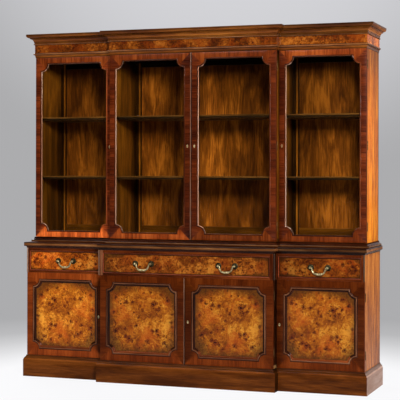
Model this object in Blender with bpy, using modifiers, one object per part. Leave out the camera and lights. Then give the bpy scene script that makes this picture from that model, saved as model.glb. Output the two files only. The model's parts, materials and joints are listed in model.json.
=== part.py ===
"""Breakfront bookcase: a glazed upper case over a base of drawers and cupboards.

Metres, +Z up. The front faces -Y, and the origin is on the floor under the middle of
the bookcase's box. Both cases step forward in the middle, so most pieces follow one
plan of eight corners, drawn at an offset from the face of the case.
"""

import math
from collections import namedtuple

import bmesh
import bpy
from mathutils import Matrix

# Plan of the two cases
LOWER_WIDTH = 2.104
LOWER_CENTRE_WIDTH = 1.072
LOWER_DEPTH = 0.422
LOWER_BREAK = 0.062
SIDE_SET_IN = 0.010
CENTRE_SET_IN = 0.014
LEDGE_DEPTH = 0.092
BREAK_SET_IN = 0.013

# Heights, from the floor up
PLINTH_HEIGHT = 0.129
LOWER_DOOR_HEIGHT = 0.5057
DRAWER_RAIL_HEIGHT = 0.013
DRAWER_OPENING_HEIGHT = 0.121
TOP_RAIL_HEIGHT = 0.016
BASE_TOP_THICKNESS = 0.0342
WAIST_HEIGHT = 0.0272
UPPER_DOOR_HEIGHT = 1.106
FRIEZE_HEIGHT = 0.0787
CORNICE_HEIGHT = 0.064

# Clearances
SEAT_GAP = 0.0003
LOWER_REVEAL = 0.001
UPPER_REVEAL = 0.002
FREE_EDGE_GAP = 0.005
MEETING_GAP = 0.0015
DRAWER_CLEARANCE = 0.0008
OVERRUN = 0.002
EMBED = 0.001
WELD = 0.000003

# Boards
LOWER_BOARD = 0.018
UPPER_BOARD = 0.020
LOWER_BACK = 0.012
UPPER_BACK = 0.014
BOTTOM_BOARD = 0.018
TOP_BOARD = 0.018
UPPER_SHELF = 0.020
CUPBOARD_SHELF = 0.018
DUST_BOARD = 0.012
BACK_PANEL_RECESS = 0.008
BACK_STILE = 0.038
BACK_RAIL = 0.050
STOP_STRIP = 0.012
SHELF_CLEARANCE = 0.001
DRAWER_STILE = 0.013
TOP_RAIL_DEPTH = 0.060
CUPBOARD_SHELF_Z = 0.390
LOW_SHELF_Z = 1.2066
HIGH_SHELF_Z = 1.570

# Mouldings
PLINTH_PROJECTION = 0.0185
PLINTH_BOARD = 0.030
NOSE_PROJECTION = 0.015
WAIST_PROJECTION = 0.019
FRIEZE_PROJECTION = 0.012
CORNICE_PROJECTION = 0.046
FRIEZE_BOARD = 0.020
CORNICE_BOARD = 0.010

# Doors
DOOR_THICKNESS = 0.022
UPPER_MARGIN = 0.032
BEAD_WIDTH = 0.008
BEAD_PROUD = 0.0028
UPPER_NOTCH = 0.042
LOWER_MARGIN = 0.038
BOLECTION_WIDTH = 0.022
BOLECTION_PROUD = 0.0056
LOWER_NOTCH = 0.038
NOTCH_FILLET = 0.004
NOTCH_STEPS = 6
GLASS_SEAT = 0.010
GLASS_REBATE = 0.009
GLASS_THICKNESS = 0.003
PANEL_SEAT = 0.008
PANEL_REBATE = 0.014
PANEL_THICKNESS = 0.008
REBATE_CLEARANCE = 0.001
MEETING_BEAD = 0.009
MEETING_OFFSET = 0.0005
MEETING_BEAD_INSET = 0.0001
BEAD_SIDES = 12

# Hinges
KNUCKLE_RADIUS = 0.0032
KNUCKLE_CLEARANCE = 0.0005
KNUCKLE_GAP = 0.0004
KNUCKLE_SIDES = 12
HINGE_LENGTH = 0.050
HINGE_INSET = 0.065
LOWER_HINGE_COUNT = 2
UPPER_HINGE_COUNT = 3

# Drawers
DRAWER_FRONT_THICKNESS = 0.020
COCKBEAD_WIDTH = 0.005
COCKBEAD_PROUD = 0.003
DRAWER_SIDE = 0.010
DRAWER_BOTTOM = 0.006
DRAWER_SIDE_INSET = 0.004
DRAWER_SIDE_DROP = 0.012
DRAWER_BACK_SPACE = 0.010

# Swan-neck handles
POST_SPACING = 0.100
POST_DROP = 0.0605
ROSE_RADIUS = 0.0135
POST_LENGTH = 0.0225
KNOB_REACH = 0.016
EYE_RADIUS = 0.0020
BAIL_RADIUS = 0.0030
BAIL_DROP = 0.037
EYE_SIDES = 12
POST_SEGMENTS = 12
BAIL_BEVEL_STEPS = 2

# Heights worked out from the stack above
BASE_Z = PLINTH_HEIGHT + SEAT_GAP
LOWER_DOOR_Z = PLINTH_HEIGHT + LOWER_REVEAL
DRAWER_RAIL_Z = LOWER_DOOR_Z + LOWER_DOOR_HEIGHT + SEAT_GAP
DRAWER_Z = DRAWER_RAIL_Z + DRAWER_RAIL_HEIGHT
TOP_RAIL_Z = DRAWER_Z + DRAWER_OPENING_HEIGHT
BASE_TOP_Z = TOP_RAIL_Z + TOP_RAIL_HEIGHT + SEAT_GAP
WAIST_Z = BASE_TOP_Z + BASE_TOP_THICKNESS + SEAT_GAP
WAIST_TOP_Z = WAIST_Z + WAIST_HEIGHT
UPPER_DOOR_Z = WAIST_TOP_Z + UPPER_REVEAL
FRIEZE_Z = UPPER_DOOR_Z + UPPER_DOOR_HEIGHT + LOWER_REVEAL
CORNICE_Z = FRIEZE_Z + FRIEZE_HEIGHT + SEAT_GAP

# Planes across the depth: the box runs from the handles' knobs to the back
BACK_Y = (LOWER_DEPTH + LOWER_BREAK + POST_LENGTH) / 2
UPPER_DEPTH = LOWER_DEPTH - LEDGE_DEPTH
UPPER_BREAK = LOWER_BREAK - BREAK_SET_IN
JOINT = DOOR_THICKNESS + SEAT_GAP

Case = namedtuple("Case", "half centre_half wing_y centre_y board back")
LOWER = Case(
    LOWER_WIDTH / 2,
    LOWER_CENTRE_WIDTH / 2,
    BACK_Y - LOWER_DEPTH,
    BACK_Y - LOWER_DEPTH - LOWER_BREAK,
    LOWER_BOARD,
    BACK_Y - LOWER_BACK,
)
UPPER = Case(
    LOWER_WIDTH / 2 - SIDE_SET_IN,
    LOWER_CENTRE_WIDTH / 2 - CENTRE_SET_IN,
    BACK_Y - UPPER_DEPTH,
    BACK_Y - UPPER_DEPTH - UPPER_BREAK,
    UPPER_BOARD,
    BACK_Y - UPPER_BACK,
)

# Outlines of the mouldings, as shares of each one's projection and height, bottom to top
plinth_shares = (
    (1, 0),
    (1, 0.80),
    (0.90, 0.80),
    (0.84, 0.85),
    (0.62, 0.90),
    (0.40, 0.935),
    (0.30, 0.965),
    (0.22, 1),
)
nose_shares = (
    (0.13, 0),
    (0.20, 0.14),
    (0.42, 0.26),
    (0.75, 0.31),
    (0.93, 0.33),
    (1, 0.40),
    (1, 0.93),
    (0.95, 1),
)
waist_shares = (
    (1, 0),
    (1, 0.40),
    (0.80, 0.43),
    (0.50, 0.52),
    (0.32, 0.66),
    (0.21, 0.80),
    (0.29, 0.83),
    (0.29, 1),
)
frieze_shares = (
    (0.17, 0),
    (0.42, 0.21),
    (0.85, 0.235),
    (1, 0.292),
    (0.85, 0.349),
    (0.45, 0.375),
    (0.38, 0.40),
    (0.38, 1),
)
cornice_shares = (
    (0.163, 0),
    (0.217, 0.016),
    (0.235, 0.042),
    (0.217, 0.075),
    (0.167, 0.097),
    (0.167, 0.266),
    (0.207, 0.266),
    (0.228, 0.344),
    (0.293, 0.438),
    (0.402, 0.523),
    (0.609, 0.578),
    (0.609, 0.648),
    (0.652, 0.648),
    (0.783, 0.680),
    (0.902, 0.734),
    (0.967, 0.797),
    (1, 0.836),
    (1, 1),
)
# Door mouldings, as shares of the width inward from the outer line and of how proud it stands
bead_shares = ((0, 0.25), (0.15, 0.70), (0.46, 1), (0.82, 0.65), (1, -0.20))
bolection_shares = (
    (0, 0.20),
    (0.14, 0.36),
    (0.27, 0.78),
    (0.41, 1),
    (0.55, 0.93),
    (0.68, 0.50),
    (0.82, -0.10),
    (0.93, -0.62),
    (1, -0.80),
)
cockbead_shares = ((0, 0.65), (0.25, 1), (0.75, 1), (1, 0.65), (1, 0))
# Rose, stem and knob turned as one, as shares of the rose's radius and the post's length
post_shares = (
    (0, 1),
    (0.22, 0.98),
    (0.41, 0.88),
    (0.49, 0.71),
    (0.44, 0.56),
    (0.31, 0.45),
    (0.27, 0.36),
    (0.31, 0.26),
    (0.63, 0.15),
    (0.90, 0.09),
    (1, 0.03),
)
# Half of a bail from its spigot to its middle: shares of half the post spacing, of the
# drop and of the wire's radius
bail_shares = (
    (1.07, 0, 0.55),
    (0.85, 0, 0.55),
    (0.82, -0.01, 0.85),
    (0.75, -0.03, 1),
    (0.68, 0.01, 1),
    (0.635, 0.13, 1),
    (0.62, 0.38, 1),
    (0.60, 0.66, 1),
    (0.53, 0.86, 1),
    (0.38, 0.95, 1.1),
    (0.20, 0.985, 1.35),
    (0, 1, 1.6),
)

MouldedDoor = namedtuple(
    "MouldedDoor", "height margin notch width proud shares seat rebate fill hinges"
)
GLAZED = MouldedDoor(
    UPPER_DOOR_HEIGHT,
    UPPER_MARGIN,
    UPPER_NOTCH,
    BEAD_WIDTH,
    BEAD_PROUD,
    bead_shares,
    GLASS_SEAT,
    GLASS_REBATE,
    GLASS_THICKNESS,
    UPPER_HINGE_COUNT,
)
PANELLED = MouldedDoor(
    LOWER_DOOR_HEIGHT,
    LOWER_MARGIN,
    LOWER_NOTCH,
    BOLECTION_WIDTH,
    BOLECTION_PROUD,
    bolection_shares,
    PANEL_SEAT,
    PANEL_REBATE,
    PANEL_THICKNESS,
    LOWER_HINGE_COUNT,
)


def clear_scene():
    for obj in list(bpy.data.objects):
        bpy.data.objects.remove(obj)


def new_collection(name):
    made = bpy.data.collections.new(name)
    bpy.context.scene.collection.children.link(made)
    return made


def material(name, colour, roughness, metallic=0.0, alpha=1.0):
    made = bpy.data.materials.new(name)
    made.use_nodes = True
    shader = made.node_tree.nodes["Principled BSDF"]
    shader.inputs["Base Color"].default_value = (*colour, 1)
    shader.inputs["Roughness"].default_value = roughness
    shader.inputs["Metallic"].default_value = metallic
    shader.inputs["Alpha"].default_value = alpha
    made.diffuse_color = (*colour, alpha)
    return made


def place(name, mesh, finish, parent=None):
    """Makes a sub-part from a mesh, in the bookcase's collection."""
    mesh.name = name
    mesh.materials.append(finish)
    made = bpy.data.objects.new(name, mesh)
    made.parent = parent
    PARTS.objects.link(made)
    return made


def axis_empty(name, location, parent=None):
    made = bpy.data.objects.new(name, None)
    made.location = location
    made.parent = parent
    PARTS.objects.link(made)
    return made


def combine(target, operation, label, mesh, finish=None):
    """Adds or cuts a mesh drawn in the target's own coordinates."""
    if finish:
        mesh.materials.append(finish)
    operand = bpy.data.objects.new(f"{target.name}_{label}", mesh)
    operand.parent = target.parent
    operand.hide_render = True
    operand.display_type = "WIRE"
    CUTTERS.objects.link(operand)
    modifier = target.modifiers.new(label, "BOOLEAN")
    modifier.operation = operation
    modifier.solver = "EXACT"
    modifier.material_mode = "TRANSFER"
    modifier.object = operand


def finished(bm, name):
    bmesh.ops.recalc_face_normals(bm, faces=bm.faces)
    mesh = bpy.data.meshes.new(name)
    bm.to_mesh(mesh)
    bm.free()
    return mesh


def boxes(name, *corner_pairs):
    """One mesh of boxes, each given by its two opposite corners."""
    bm = bmesh.new()
    for low, high in corner_pairs:
        size = [abs(b - a) for a, b in zip(low, high)]
        middle = [(a + b) / 2 for a, b in zip(low, high)]
        matrix = Matrix.Translation(middle) @ Matrix.Diagonal((*size, 1))
        bmesh.ops.create_cube(bm, size=1, matrix=matrix)
    return finished(bm, name)


def rods(name, radius, sides, turn, *spans):
    """One mesh of round bars, each given by its middle and length, turned from +Z.

    Half a facet of roll keeps every edge off the flat faces that the bars lie across.
    """
    bm = bmesh.new()
    roll = turn @ Matrix.Rotation(math.pi / sides, 4, "Z")
    for middle, length in spans:
        bmesh.ops.create_cone(
            bm,
            cap_ends=True,
            segments=sides,
            radius1=radius,
            radius2=radius,
            depth=length,
            matrix=Matrix.Translation(middle) @ roll,
        )
    return finished(bm, name)


def loft(name, rings, path_closed=False, second_finish=()):
    """Skins closed rings of equal length, and caps both ends of an open path.

    second_finish lists the spans between rings whose faces take the second material.
    """
    bm = bmesh.new()
    rows = [[bm.verts.new(point) for point in ring] for ring in rings]
    count = len(rows[0])
    spans = list(zip(rows, rows[1:]))
    if path_closed:
        spans.append((rows[-1], rows[0]))
    for span, (first, second) in enumerate(spans):
        for i in range(count):
            j = (i + 1) % count
            face = bm.faces.new((first[i], first[j], second[j], second[i]))
            face.material_index = int(span in second_finish)
    if not path_closed:
        bm.faces.new(rows[0][::-1])
        bm.faces.new(rows[-1])
    bmesh.ops.remove_doubles(bm, verts=bm.verts, dist=WELD)
    return finished(bm, name)


def plan(case, offset, inset_sides=0, front_offset=None, back=BACK_Y):
    """The eight corners of a case's plan, drawn outwards by an offset, from the left back.

    inset_sides narrows the wings for a board that fits between the case sides, and
    front_offset, where given, moves only the front.
    """
    front = offset if front_offset is None else front_offset
    half = case.half + offset - inset_sides
    centre = case.centre_half + offset
    wing_y = case.wing_y - front
    centre_y = case.centre_y - front
    rear = back + min(offset, 0)
    left = [(-half, rear), (-half, wing_y), (-centre, wing_y), (-centre, centre_y)]
    return left + [(-x, y) for x, y in reversed(left)]


def moulded_frame(name, case, profile, path_closed):
    """Runs a section of (offset, height) points round the plan, mitred at its corners."""
    drawn = [plan(case, offset) for offset, z in profile]
    rings = []
    for corner in range(len(drawn[0])):
        rings.append([(*line[corner], z) for line, (offset, z) in zip(drawn, profile)])
    return loft(name, rings, path_closed=path_closed)


def stacked(name, layers):
    """A solid through plans at rising heights."""
    return loft(name, [[(x, y, z) for x, y in outline] for outline, z in layers])


def moulding_points(shares, projection, foot, height):
    return [(projection * out, foot + height * up) for out, up in shares]


def stepped_side(x_low, x_high, rear, low, step, high, low_front, high_front):
    """An upright board whose front edge steps at one height."""
    outline = [(rear, low), (low_front, low), (low_front, step), (high_front, step)]
    outline += [(high_front, high), (rear, high)]
    return loft("side", [[(x, y, z) for y, z in outline] for x in (x_low, x_high)])


def bays(case, wing_stile=0):
    """Left, centre and right spaces between the uprights: name, low X, high X, face Y."""
    outer = case.half - case.board
    inner = case.centre_half + wing_stile
    centre = case.centre_half - case.board
    return (
        ("left", -outer, -inner, case.wing_y),
        ("centre", -centre, centre, case.centre_y),
        ("right", inner, outer, case.wing_y),
    )


def hinge_feet(door):
    """The low ends of a door's hinges, above its bottom edge."""
    low = HINGE_INSET
    high = door.height - HINGE_INSET - HINGE_LENGTH
    return [low + (high - low) * i / (door.hinges - 1) for i in range(door.hinges)]


def knuckle_parts(door):
    """Low and high ends of the door's own knuckles and of the case's, above the door's foot."""
    length = (HINGE_LENGTH - 2 * KNUCKLE_GAP) / 3
    own = []
    fixed = []
    for low in hinge_feet(door):
        own.append((low + length + KNUCKLE_GAP, low + 2 * length + KNUCKLE_GAP))
        fixed.append((low, low + length))
        fixed.append((low + 2 * length + 2 * KNUCKLE_GAP, low + HINGE_LENGTH))
    return own, fixed


def knuckles(name, x, y, foot, spans):
    placed = [((x, y, foot + (low + high) / 2), high - low) for low, high in spans]
    return rods(name, KNUCKLE_RADIUS, KNUCKLE_SIDES, Matrix.Identity(4), *placed)


def knuckle_notches(name, x, y, foot, spans):
    """Square recesses round the other member's knuckles."""
    reach = KNUCKLE_RADIUS + KNUCKLE_CLEARANCE
    end = KNUCKLE_GAP / 2
    made = []
    for low, high in spans:
        made.append(
            (
                (x - reach, y - reach, foot + low - end),
                (x + reach, y + reach, foot + high + end),
            )
        )
    return boxes(name, *made)


def hang_doors(upright, x, joint_y, foot, door):
    """Gives an upright the fixed knuckles of one door, and recesses for the door's own."""
    own, fixed = knuckle_parts(door)
    combine(upright, "DIFFERENCE", "notches", knuckle_notches("notches", x, joint_y, foot, own))
    combine(upright, "UNION", "knuckles", knuckles("knuckles", x, joint_y, foot, fixed), BRASS)


def build_plinth():
    outer = moulding_points(plinth_shares, PLINTH_PROJECTION, 0, PLINTH_HEIGHT)
    section = outer + [(-PLINTH_BOARD, PLINTH_HEIGHT), (-PLINTH_BOARD, 0)]
    place("plinth", moulded_frame("plinth", LOWER, section, True), MAHOGANY_DARK)


def build_base_case():
    rear = LOWER.back - SEAT_GAP
    bottom = plan(LOWER, 0, LOWER_BOARD + SEAT_GAP, -JOINT, rear)
    layers = [(bottom, BASE_Z), (bottom, BASE_Z + BOTTOM_BOARD)]
    place("base_bottom", stacked("base_bottom", layers), OAK)
    top = BASE_TOP_Z - SEAT_GAP
    wing_joint = LOWER.wing_y + JOINT
    for side, sign in (("left", -1), ("right", 1)):
        inner = sign * (LOWER.half - LOWER_BOARD)
        low, high = sorted((inner, sign * LOWER.half))
        mesh = stepped_side(
            low, high, rear, BASE_Z, DRAWER_RAIL_Z, top, wing_joint, LOWER.wing_y
        )
        made = place(f"base_side_{side}", mesh, MAHOGANY)
        hang_doors(made, sign * LOWER.half, wing_joint, LOWER_DOOR_Z, PANELLED)
        build_base_partition(side, sign, rear, top)
    back = boxes(
        "base_back",
        ((-LOWER.half, LOWER.back, BASE_Z), (LOWER.half, BACK_Y, top)),
    )
    place("base_back", back, OAK)


def build_base_partition(side, sign, rear, top):
    """An upright that is also the return of the break, with the wing door's stop."""
    foot = BASE_Z + BOTTOM_BOARD + SEAT_GAP
    outer = sign * LOWER.centre_half
    low, high = sorted((outer, outer - sign * LOWER_BOARD))
    joint = LOWER.centre_y + JOINT
    mesh = stepped_side(low, high, rear, foot, DRAWER_RAIL_Z, top, joint, LOWER.centre_y)
    made = place(f"base_partition_{side}", mesh, MAHOGANY)
    stop_y = LOWER.wing_y + JOINT
    stop = (
        (outer - sign * EMBED, stop_y, foot + SEAT_GAP),
        (outer + sign * STOP_STRIP, stop_y + STOP_STRIP, DRAWER_RAIL_Z - SEAT_GAP),
    )
    stile = (
        (outer - sign * EMBED, LOWER.wing_y, DRAWER_RAIL_Z),
        (outer + sign * DRAWER_STILE, rear - SEAT_GAP, top - SEAT_GAP),
    )
    combine(made, "UNION", "stop", boxes("stop", stop, stile))
    hang_doors(made, outer, joint, LOWER_DOOR_Z, PANELLED)


def build_base_rails():
    """Dust boards under the drawers and rails over them, in each bay."""
    rear = LOWER.back - SEAT_GAP
    for side, low, high, face in bays(LOWER, DRAWER_STILE):
        left, right = low + SEAT_GAP, high - SEAT_GAP
        rail_top = DRAWER_RAIL_Z + DRAWER_RAIL_HEIGHT
        rail = boxes("rail", ((left, face, DRAWER_RAIL_Z), (right, rear, rail_top)))
        place(f"drawer_rail_{side}", rail, MAHOGANY)
        top_y = face + TOP_RAIL_DEPTH
        top = boxes(
            "top_rail",
            ((left, face, TOP_RAIL_Z), (right, top_y, TOP_RAIL_Z + TOP_RAIL_HEIGHT)),
        )
        place(f"top_rail_{side}", top, MAHOGANY)


def build_shelves(case, prefix, heights, thickness, finish):
    """Loose shelves that lie between the uprights, clear of the door stops."""
    rear = case.back - SEAT_GAP
    for side, low, high, face in bays(case):
        front = face + JOINT + STOP_STRIP + SHELF_CLEARANCE
        for level, z in heights:
            name = "_".join(part for part in (prefix, level, side) if part)
            corners = ((low + SEAT_GAP, front, z), (high - SEAT_GAP, rear, z + thickness))
            place(name, boxes(name, corners), finish)


def build_base_top():
    outer = moulding_points(nose_shares, NOSE_PROJECTION, BASE_TOP_Z, BASE_TOP_THICKNESS)
    layers = [(plan(LOWER, offset), z) for offset, z in outer]
    place("base_top", stacked("base_top", layers), MAHOGANY_DARK)


def build_waist():
    outer = moulding_points(waist_shares, WAIST_PROJECTION, WAIST_Z, WAIST_HEIGHT)
    section = outer + [(SEAT_GAP, WAIST_TOP_Z), (SEAT_GAP, WAIST_Z)]
    place("waist_moulding", moulded_frame("waist", UPPER, section, False), MAHOGANY_DARK)


def build_upper_case():
    rear = UPPER.back - SEAT_GAP
    inset = UPPER_BOARD + SEAT_GAP
    foot = plan(UPPER, 0, inset, 0, rear)
    board = plan(UPPER, 0, inset, -JOINT, rear)
    layers = [(foot, WAIST_Z), (foot, WAIST_TOP_Z), (board, WAIST_TOP_Z)]
    layers.append((board, WAIST_TOP_Z + BOTTOM_BOARD))
    place("upper_bottom", stacked("upper_bottom", layers), MAHOGANY)
    high = FRIEZE_Z - SEAT_GAP
    top = [(board, high - TOP_BOARD), (board, high)]
    place("upper_top", stacked("upper_top", top), MAHOGANY)
    joint = UPPER.wing_y + JOINT
    for side, sign in (("left", -1), ("right", 1)):
        near, far = sorted((sign * (UPPER.half - UPPER_BOARD), sign * UPPER.half))
        mesh = stepped_side(
            near, far, rear, WAIST_Z, WAIST_TOP_Z, high, UPPER.wing_y, joint
        )
        made = place(f"upper_side_{side}", mesh, MAHOGANY)
        hang_doors(made, sign * UPPER.half, joint, UPPER_DOOR_Z, GLAZED)
        build_upper_partition(side, sign, rear, high - TOP_BOARD - SEAT_GAP)
    build_upper_back(high)


def build_upper_partition(side, sign, rear, top):
    foot = WAIST_TOP_Z + BOTTOM_BOARD + SEAT_GAP
    outer = UPPER.centre_half
    joint = UPPER.centre_y + JOINT
    stop = UPPER.wing_y + JOINT
    outline = [
        (outer - UPPER_BOARD, rear),
        (outer - UPPER_BOARD, joint),
        (outer, joint),
        (outer, stop),
        (outer + STOP_STRIP, stop),
        (outer + STOP_STRIP, stop + STOP_STRIP),
        (outer, stop + STOP_STRIP),
        (outer, rear),
    ]
    placed = [(sign * x, y) for x, y in outline]
    mesh = stacked("partition", [(placed, foot), (placed, top)])
    made = place(f"upper_partition_{side}", mesh, MAHOGANY)
    hang_doors(made, sign * outer, joint, UPPER_DOOR_Z, GLAZED)


def build_upper_back(top):
    """One framed back with a sunk panel behind each bay."""
    name = "upper_back"
    mesh = boxes(name, ((-UPPER.half, UPPER.back, WAIST_Z), (UPPER.half, BACK_Y, top)))
    made = place(name, mesh, MAHOGANY)
    low = WAIST_TOP_Z + BOTTOM_BOARD + BACK_RAIL
    high = top - TOP_BOARD - BACK_RAIL
    cuts = []
    for side, left, right, face in bays(UPPER):
        near = (left + BACK_STILE, UPPER.back - OVERRUN, low)
        far = (right - BACK_STILE, UPPER.back + BACK_PANEL_RECESS, high)
        cuts.append((near, far))
    combine(made, "DIFFERENCE", "panels", boxes("panels", *cuts))


def build_entablature():
    """Frieze and cornice frames, and the dust board inside the cornice."""
    outer = moulding_points(frieze_shares, FRIEZE_PROJECTION, FRIEZE_Z, FRIEZE_HEIGHT)
    frieze_top = FRIEZE_Z + FRIEZE_HEIGHT
    section = outer + [(-FRIEZE_BOARD, frieze_top), (-FRIEZE_BOARD, FRIEZE_Z)]
    place("frieze", moulded_frame("frieze", UPPER, section, True), BURL)
    outer = moulding_points(cornice_shares, CORNICE_PROJECTION, CORNICE_Z, CORNICE_HEIGHT)
    cornice_top = CORNICE_Z + CORNICE_HEIGHT
    section = outer + [(-CORNICE_BOARD, cornice_top), (-CORNICE_BOARD, CORNICE_Z)]
    place("cornice", moulded_frame("cornice", UPPER, section, True), MAHOGANY_DARK)
    board = plan(UPPER, -CORNICE_BOARD - SEAT_GAP)
    layers = [(board, CORNICE_Z), (board, CORNICE_Z + DUST_BOARD)]
    place("cornice_board", stacked("cornice_board", layers), OAK)


def notched_outline(half_x, half_z, door, inward):
    """A rectangle with a re-entrant quarter round at each corner, drawn inwards.

    The quarter rounds keep their centres and grow as the outline is drawn inwards. The
    small fillet beside each one closes where that distance passes its own size.
    """
    radius = door.notch + inward
    past = max(inward - NOTCH_FILLET, 0)
    start = math.asin(past / radius)
    centre_x, centre_z = half_x - NOTCH_FILLET, half_z - NOTCH_FILLET
    corner = [(centre_x - radius * math.cos(start), half_z - inward)]
    for step in range(NOTCH_STEPS + 1):
        angle = math.pi + start + (math.pi / 2 - 2 * start) * step / NOTCH_STEPS
        corner.append((centre_x + radius * math.cos(angle), centre_z + radius * math.sin(angle)))
    corner.append((half_x - inward, centre_z - radius * math.cos(start)))
    points = []
    for sign_x, sign_z in ((1, 1), (1, -1), (-1, -1), (-1, 1)):
        turned = [(sign_x * x, sign_z * z) for x, z in corner]
        points += turned if sign_x == sign_z else turned[::-1]
    return points


def squared_outline(line, low, high):
    """A rectangle between two corners, with a point for each point of a notched outline.

    The two ends of each notch keep their place along the edge, and the points between
    them all fall on the rectangle's corner.
    """
    per_corner = len(line) // 4
    made = []
    for i, (x, z) in enumerate(line):
        corner_x = high[0] if x > 0 else low[0]
        corner_z = high[1] if z > 0 else low[1]
        corner, place = divmod(i, per_corner)
        if place in (0, per_corner - 1):
            along_x = (place == 0) == (corner % 2 == 0)
            made.append((x, corner_z) if along_x else (corner_x, z))
        else:
            made.append((corner_x, corner_z))
    return made


def build_door(name, case_x, joint_y, foot, door, sign, width, bead, fill_name, fill):
    """A framed door that swings about an upright axis at its outer back edge.

    It is drawn from that axis, which is its parent. sign is the way from the hinge to
    the free edge, and bead the width of a meeting bead there.
    """
    axis = axis_empty(f"{name}_axis", (case_x, joint_y, foot))
    face = -JOINT
    back = face + DOOR_THICKNESS
    seat = face + door.seat
    middle_x = sign * (width - bead) / 2
    middle_z = door.height / 2
    half_x = abs(middle_x) - door.margin
    half_z = middle_z - door.margin
    line = notched_outline(half_x, half_z, door, 0)
    x_low, x_high = sorted((-middle_x, sign * width - middle_x))
    board = squared_outline(line, (x_low, -middle_z), (x_high, middle_z))
    rebate_x = half_x - door.width + door.rebate
    rebate_z = half_z - door.width + door.rebate
    rebate = squared_outline(line, (-rebate_x, -rebate_z), (rebate_x, rebate_z))
    rows = [(board, face), (line, face)]
    for inward, out in door.shares:
        drawn = notched_outline(half_x, half_z, door, door.width * inward)
        rows.append((drawn, face - door.proud * out))
    moulding = range(1, len(rows) - 1)
    rows += [(drawn, seat), (rebate, seat), (rebate, back), (board, back)]
    rings = [[(middle_x + x, y, middle_z + z) for x, z in row] for row, y in rows]
    made = place(name, loft(name, rings, True, moulding), MAHOGANY, axis)
    made.data.materials.append(MAHOGANY_DARK)
    own, fixed = knuckle_parts(door)
    combine(made, "DIFFERENCE", "notches", knuckle_notches("notches", 0, 0, 0, fixed))
    combine(made, "UNION", "knuckles", knuckles("knuckles", 0, 0, 0, own), BRASS)
    if bead:
        add_meeting_bead(made, sign, width, bead, face, door)
    pane_x, pane_z = rebate_x - REBATE_CLEARANCE, rebate_z - REBATE_CLEARANCE
    pane_y = seat + SEAT_GAP
    pane = (
        (middle_x - pane_x, pane_y, middle_z - pane_z),
        (middle_x + pane_x, pane_y + door.fill, middle_z + pane_z),
    )
    place(fill_name, boxes(fill_name, pane), fill, axis)


def add_meeting_bead(leaf, sign, width, bead, face, door):
    """A half-round bead planted along the leaf's free edge."""
    radius = bead / 2 - MEETING_BEAD_INSET
    x = sign * (width - bead / 2)
    length = door.height - 2 * MEETING_BEAD_INSET
    rod = ((x, face, door.height / 2), length)
    mesh = rods("bead", radius, BEAD_SIDES, Matrix.Identity(4), rod)
    combine(leaf, "UNION", "bead", mesh, MAHOGANY_DARK)


def build_doors(case, foot, door, prefix, fill_prefix, fill):
    """Two wing doors hung at their outer edges and a pair of leaves in the centre."""
    wing = case.half - case.centre_half - FREE_EDGE_GAP
    right_leaf = case.centre_half + MEETING_BEAD / 2 - MEETING_OFFSET
    left_leaf = 2 * case.centre_half - right_leaf - MEETING_GAP
    wing_y = case.wing_y + JOINT
    centre_y = case.centre_y + JOINT
    rows = (
        ("left", -case.half, wing_y, 1, wing, 0),
        ("centre_left", -case.centre_half, centre_y, 1, left_leaf, 0),
        ("centre_right", case.centre_half, centre_y, -1, right_leaf, MEETING_BEAD),
        ("right", case.half, wing_y, -1, wing, 0),
    )
    for side, x, y, sign, width, bead in rows:
        name = f"{prefix}_{side}"
        fill_name = f"{fill_prefix}_{side}"
        build_door(name, x, y, foot, door, sign, width, bead, fill_name, fill)


def turned(name, shares, radius, length, foot, segments):
    """A shape turned about +Z from shares listed from its tip down, on a foot below zero."""
    bm = bmesh.new()
    points = [(radius * out, 0, length * up) for out, up in shares]
    points += [(points[-1][0], 0, -foot), (0, 0, -foot)]
    made = [bm.verts.new(point) for point in points]
    for first, second in zip(made, made[1:]):
        bm.edges.new((first, second))
    mesh = bpy.data.meshes.new(name)
    bm.to_mesh(mesh)
    bm.free()
    lathe = bpy.data.objects.new(name, mesh)
    bpy.context.scene.collection.objects.link(lathe)
    screw = lathe.modifiers.new("turn", "SCREW")
    screw.steps = segments
    screw.render_steps = segments
    screw.use_merge_vertices = True
    screw.merge_threshold = WELD
    bpy.context.view_layer.update()
    graph = bpy.context.evaluated_depsgraph_get()
    shape = bpy.data.meshes.new_from_object(lathe.evaluated_get(graph))
    bpy.data.objects.remove(lathe)
    bpy.data.meshes.remove(mesh)
    return shape


def build_drawer(side, low, high, face, handles):
    """A front with a cock bead round it, handle posts, and a box behind."""
    axis = axis_empty(f"drawer_{side}_slide", ((low + high) / 2, face, DRAWER_Z))
    half = (high - low) / 2 - DRAWER_CLEARANCE
    foot = SEAT_GAP
    top = DRAWER_OPENING_HEIGHT - DRAWER_CLEARANCE
    ring_depths = [(0, DRAWER_FRONT_THICKNESS)]
    for inward, out in cockbead_shares:
        ring_depths.append((COCKBEAD_WIDTH * inward, -COCKBEAD_PROUD * out))
    rings = []
    for inward, y in ring_depths:
        x, z_low, z_high = half - inward, foot + inward, top - inward
        rings.append([(-x, y, z_low), (x, y, z_low), (x, y, z_high), (-x, y, z_high)])
    name = f"drawer_front_{side}"
    front = place(name, loft(name, rings), BURL, axis)
    post_z = TOP_RAIL_Z - DRAWER_Z - POST_DROP
    posts = [
        middle + end * POST_SPACING / 2 for middle in handles for end in (-1, 1)
    ]
    add_posts(front, posts, post_z)
    build_drawer_box(side, face, half, foot, axis)
    for number, middle in enumerate(handles, 1):
        label = f"{side}_{number}" if len(handles) > 1 else side
        build_bail(f"bail_{label}", middle, post_z, axis)


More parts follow.
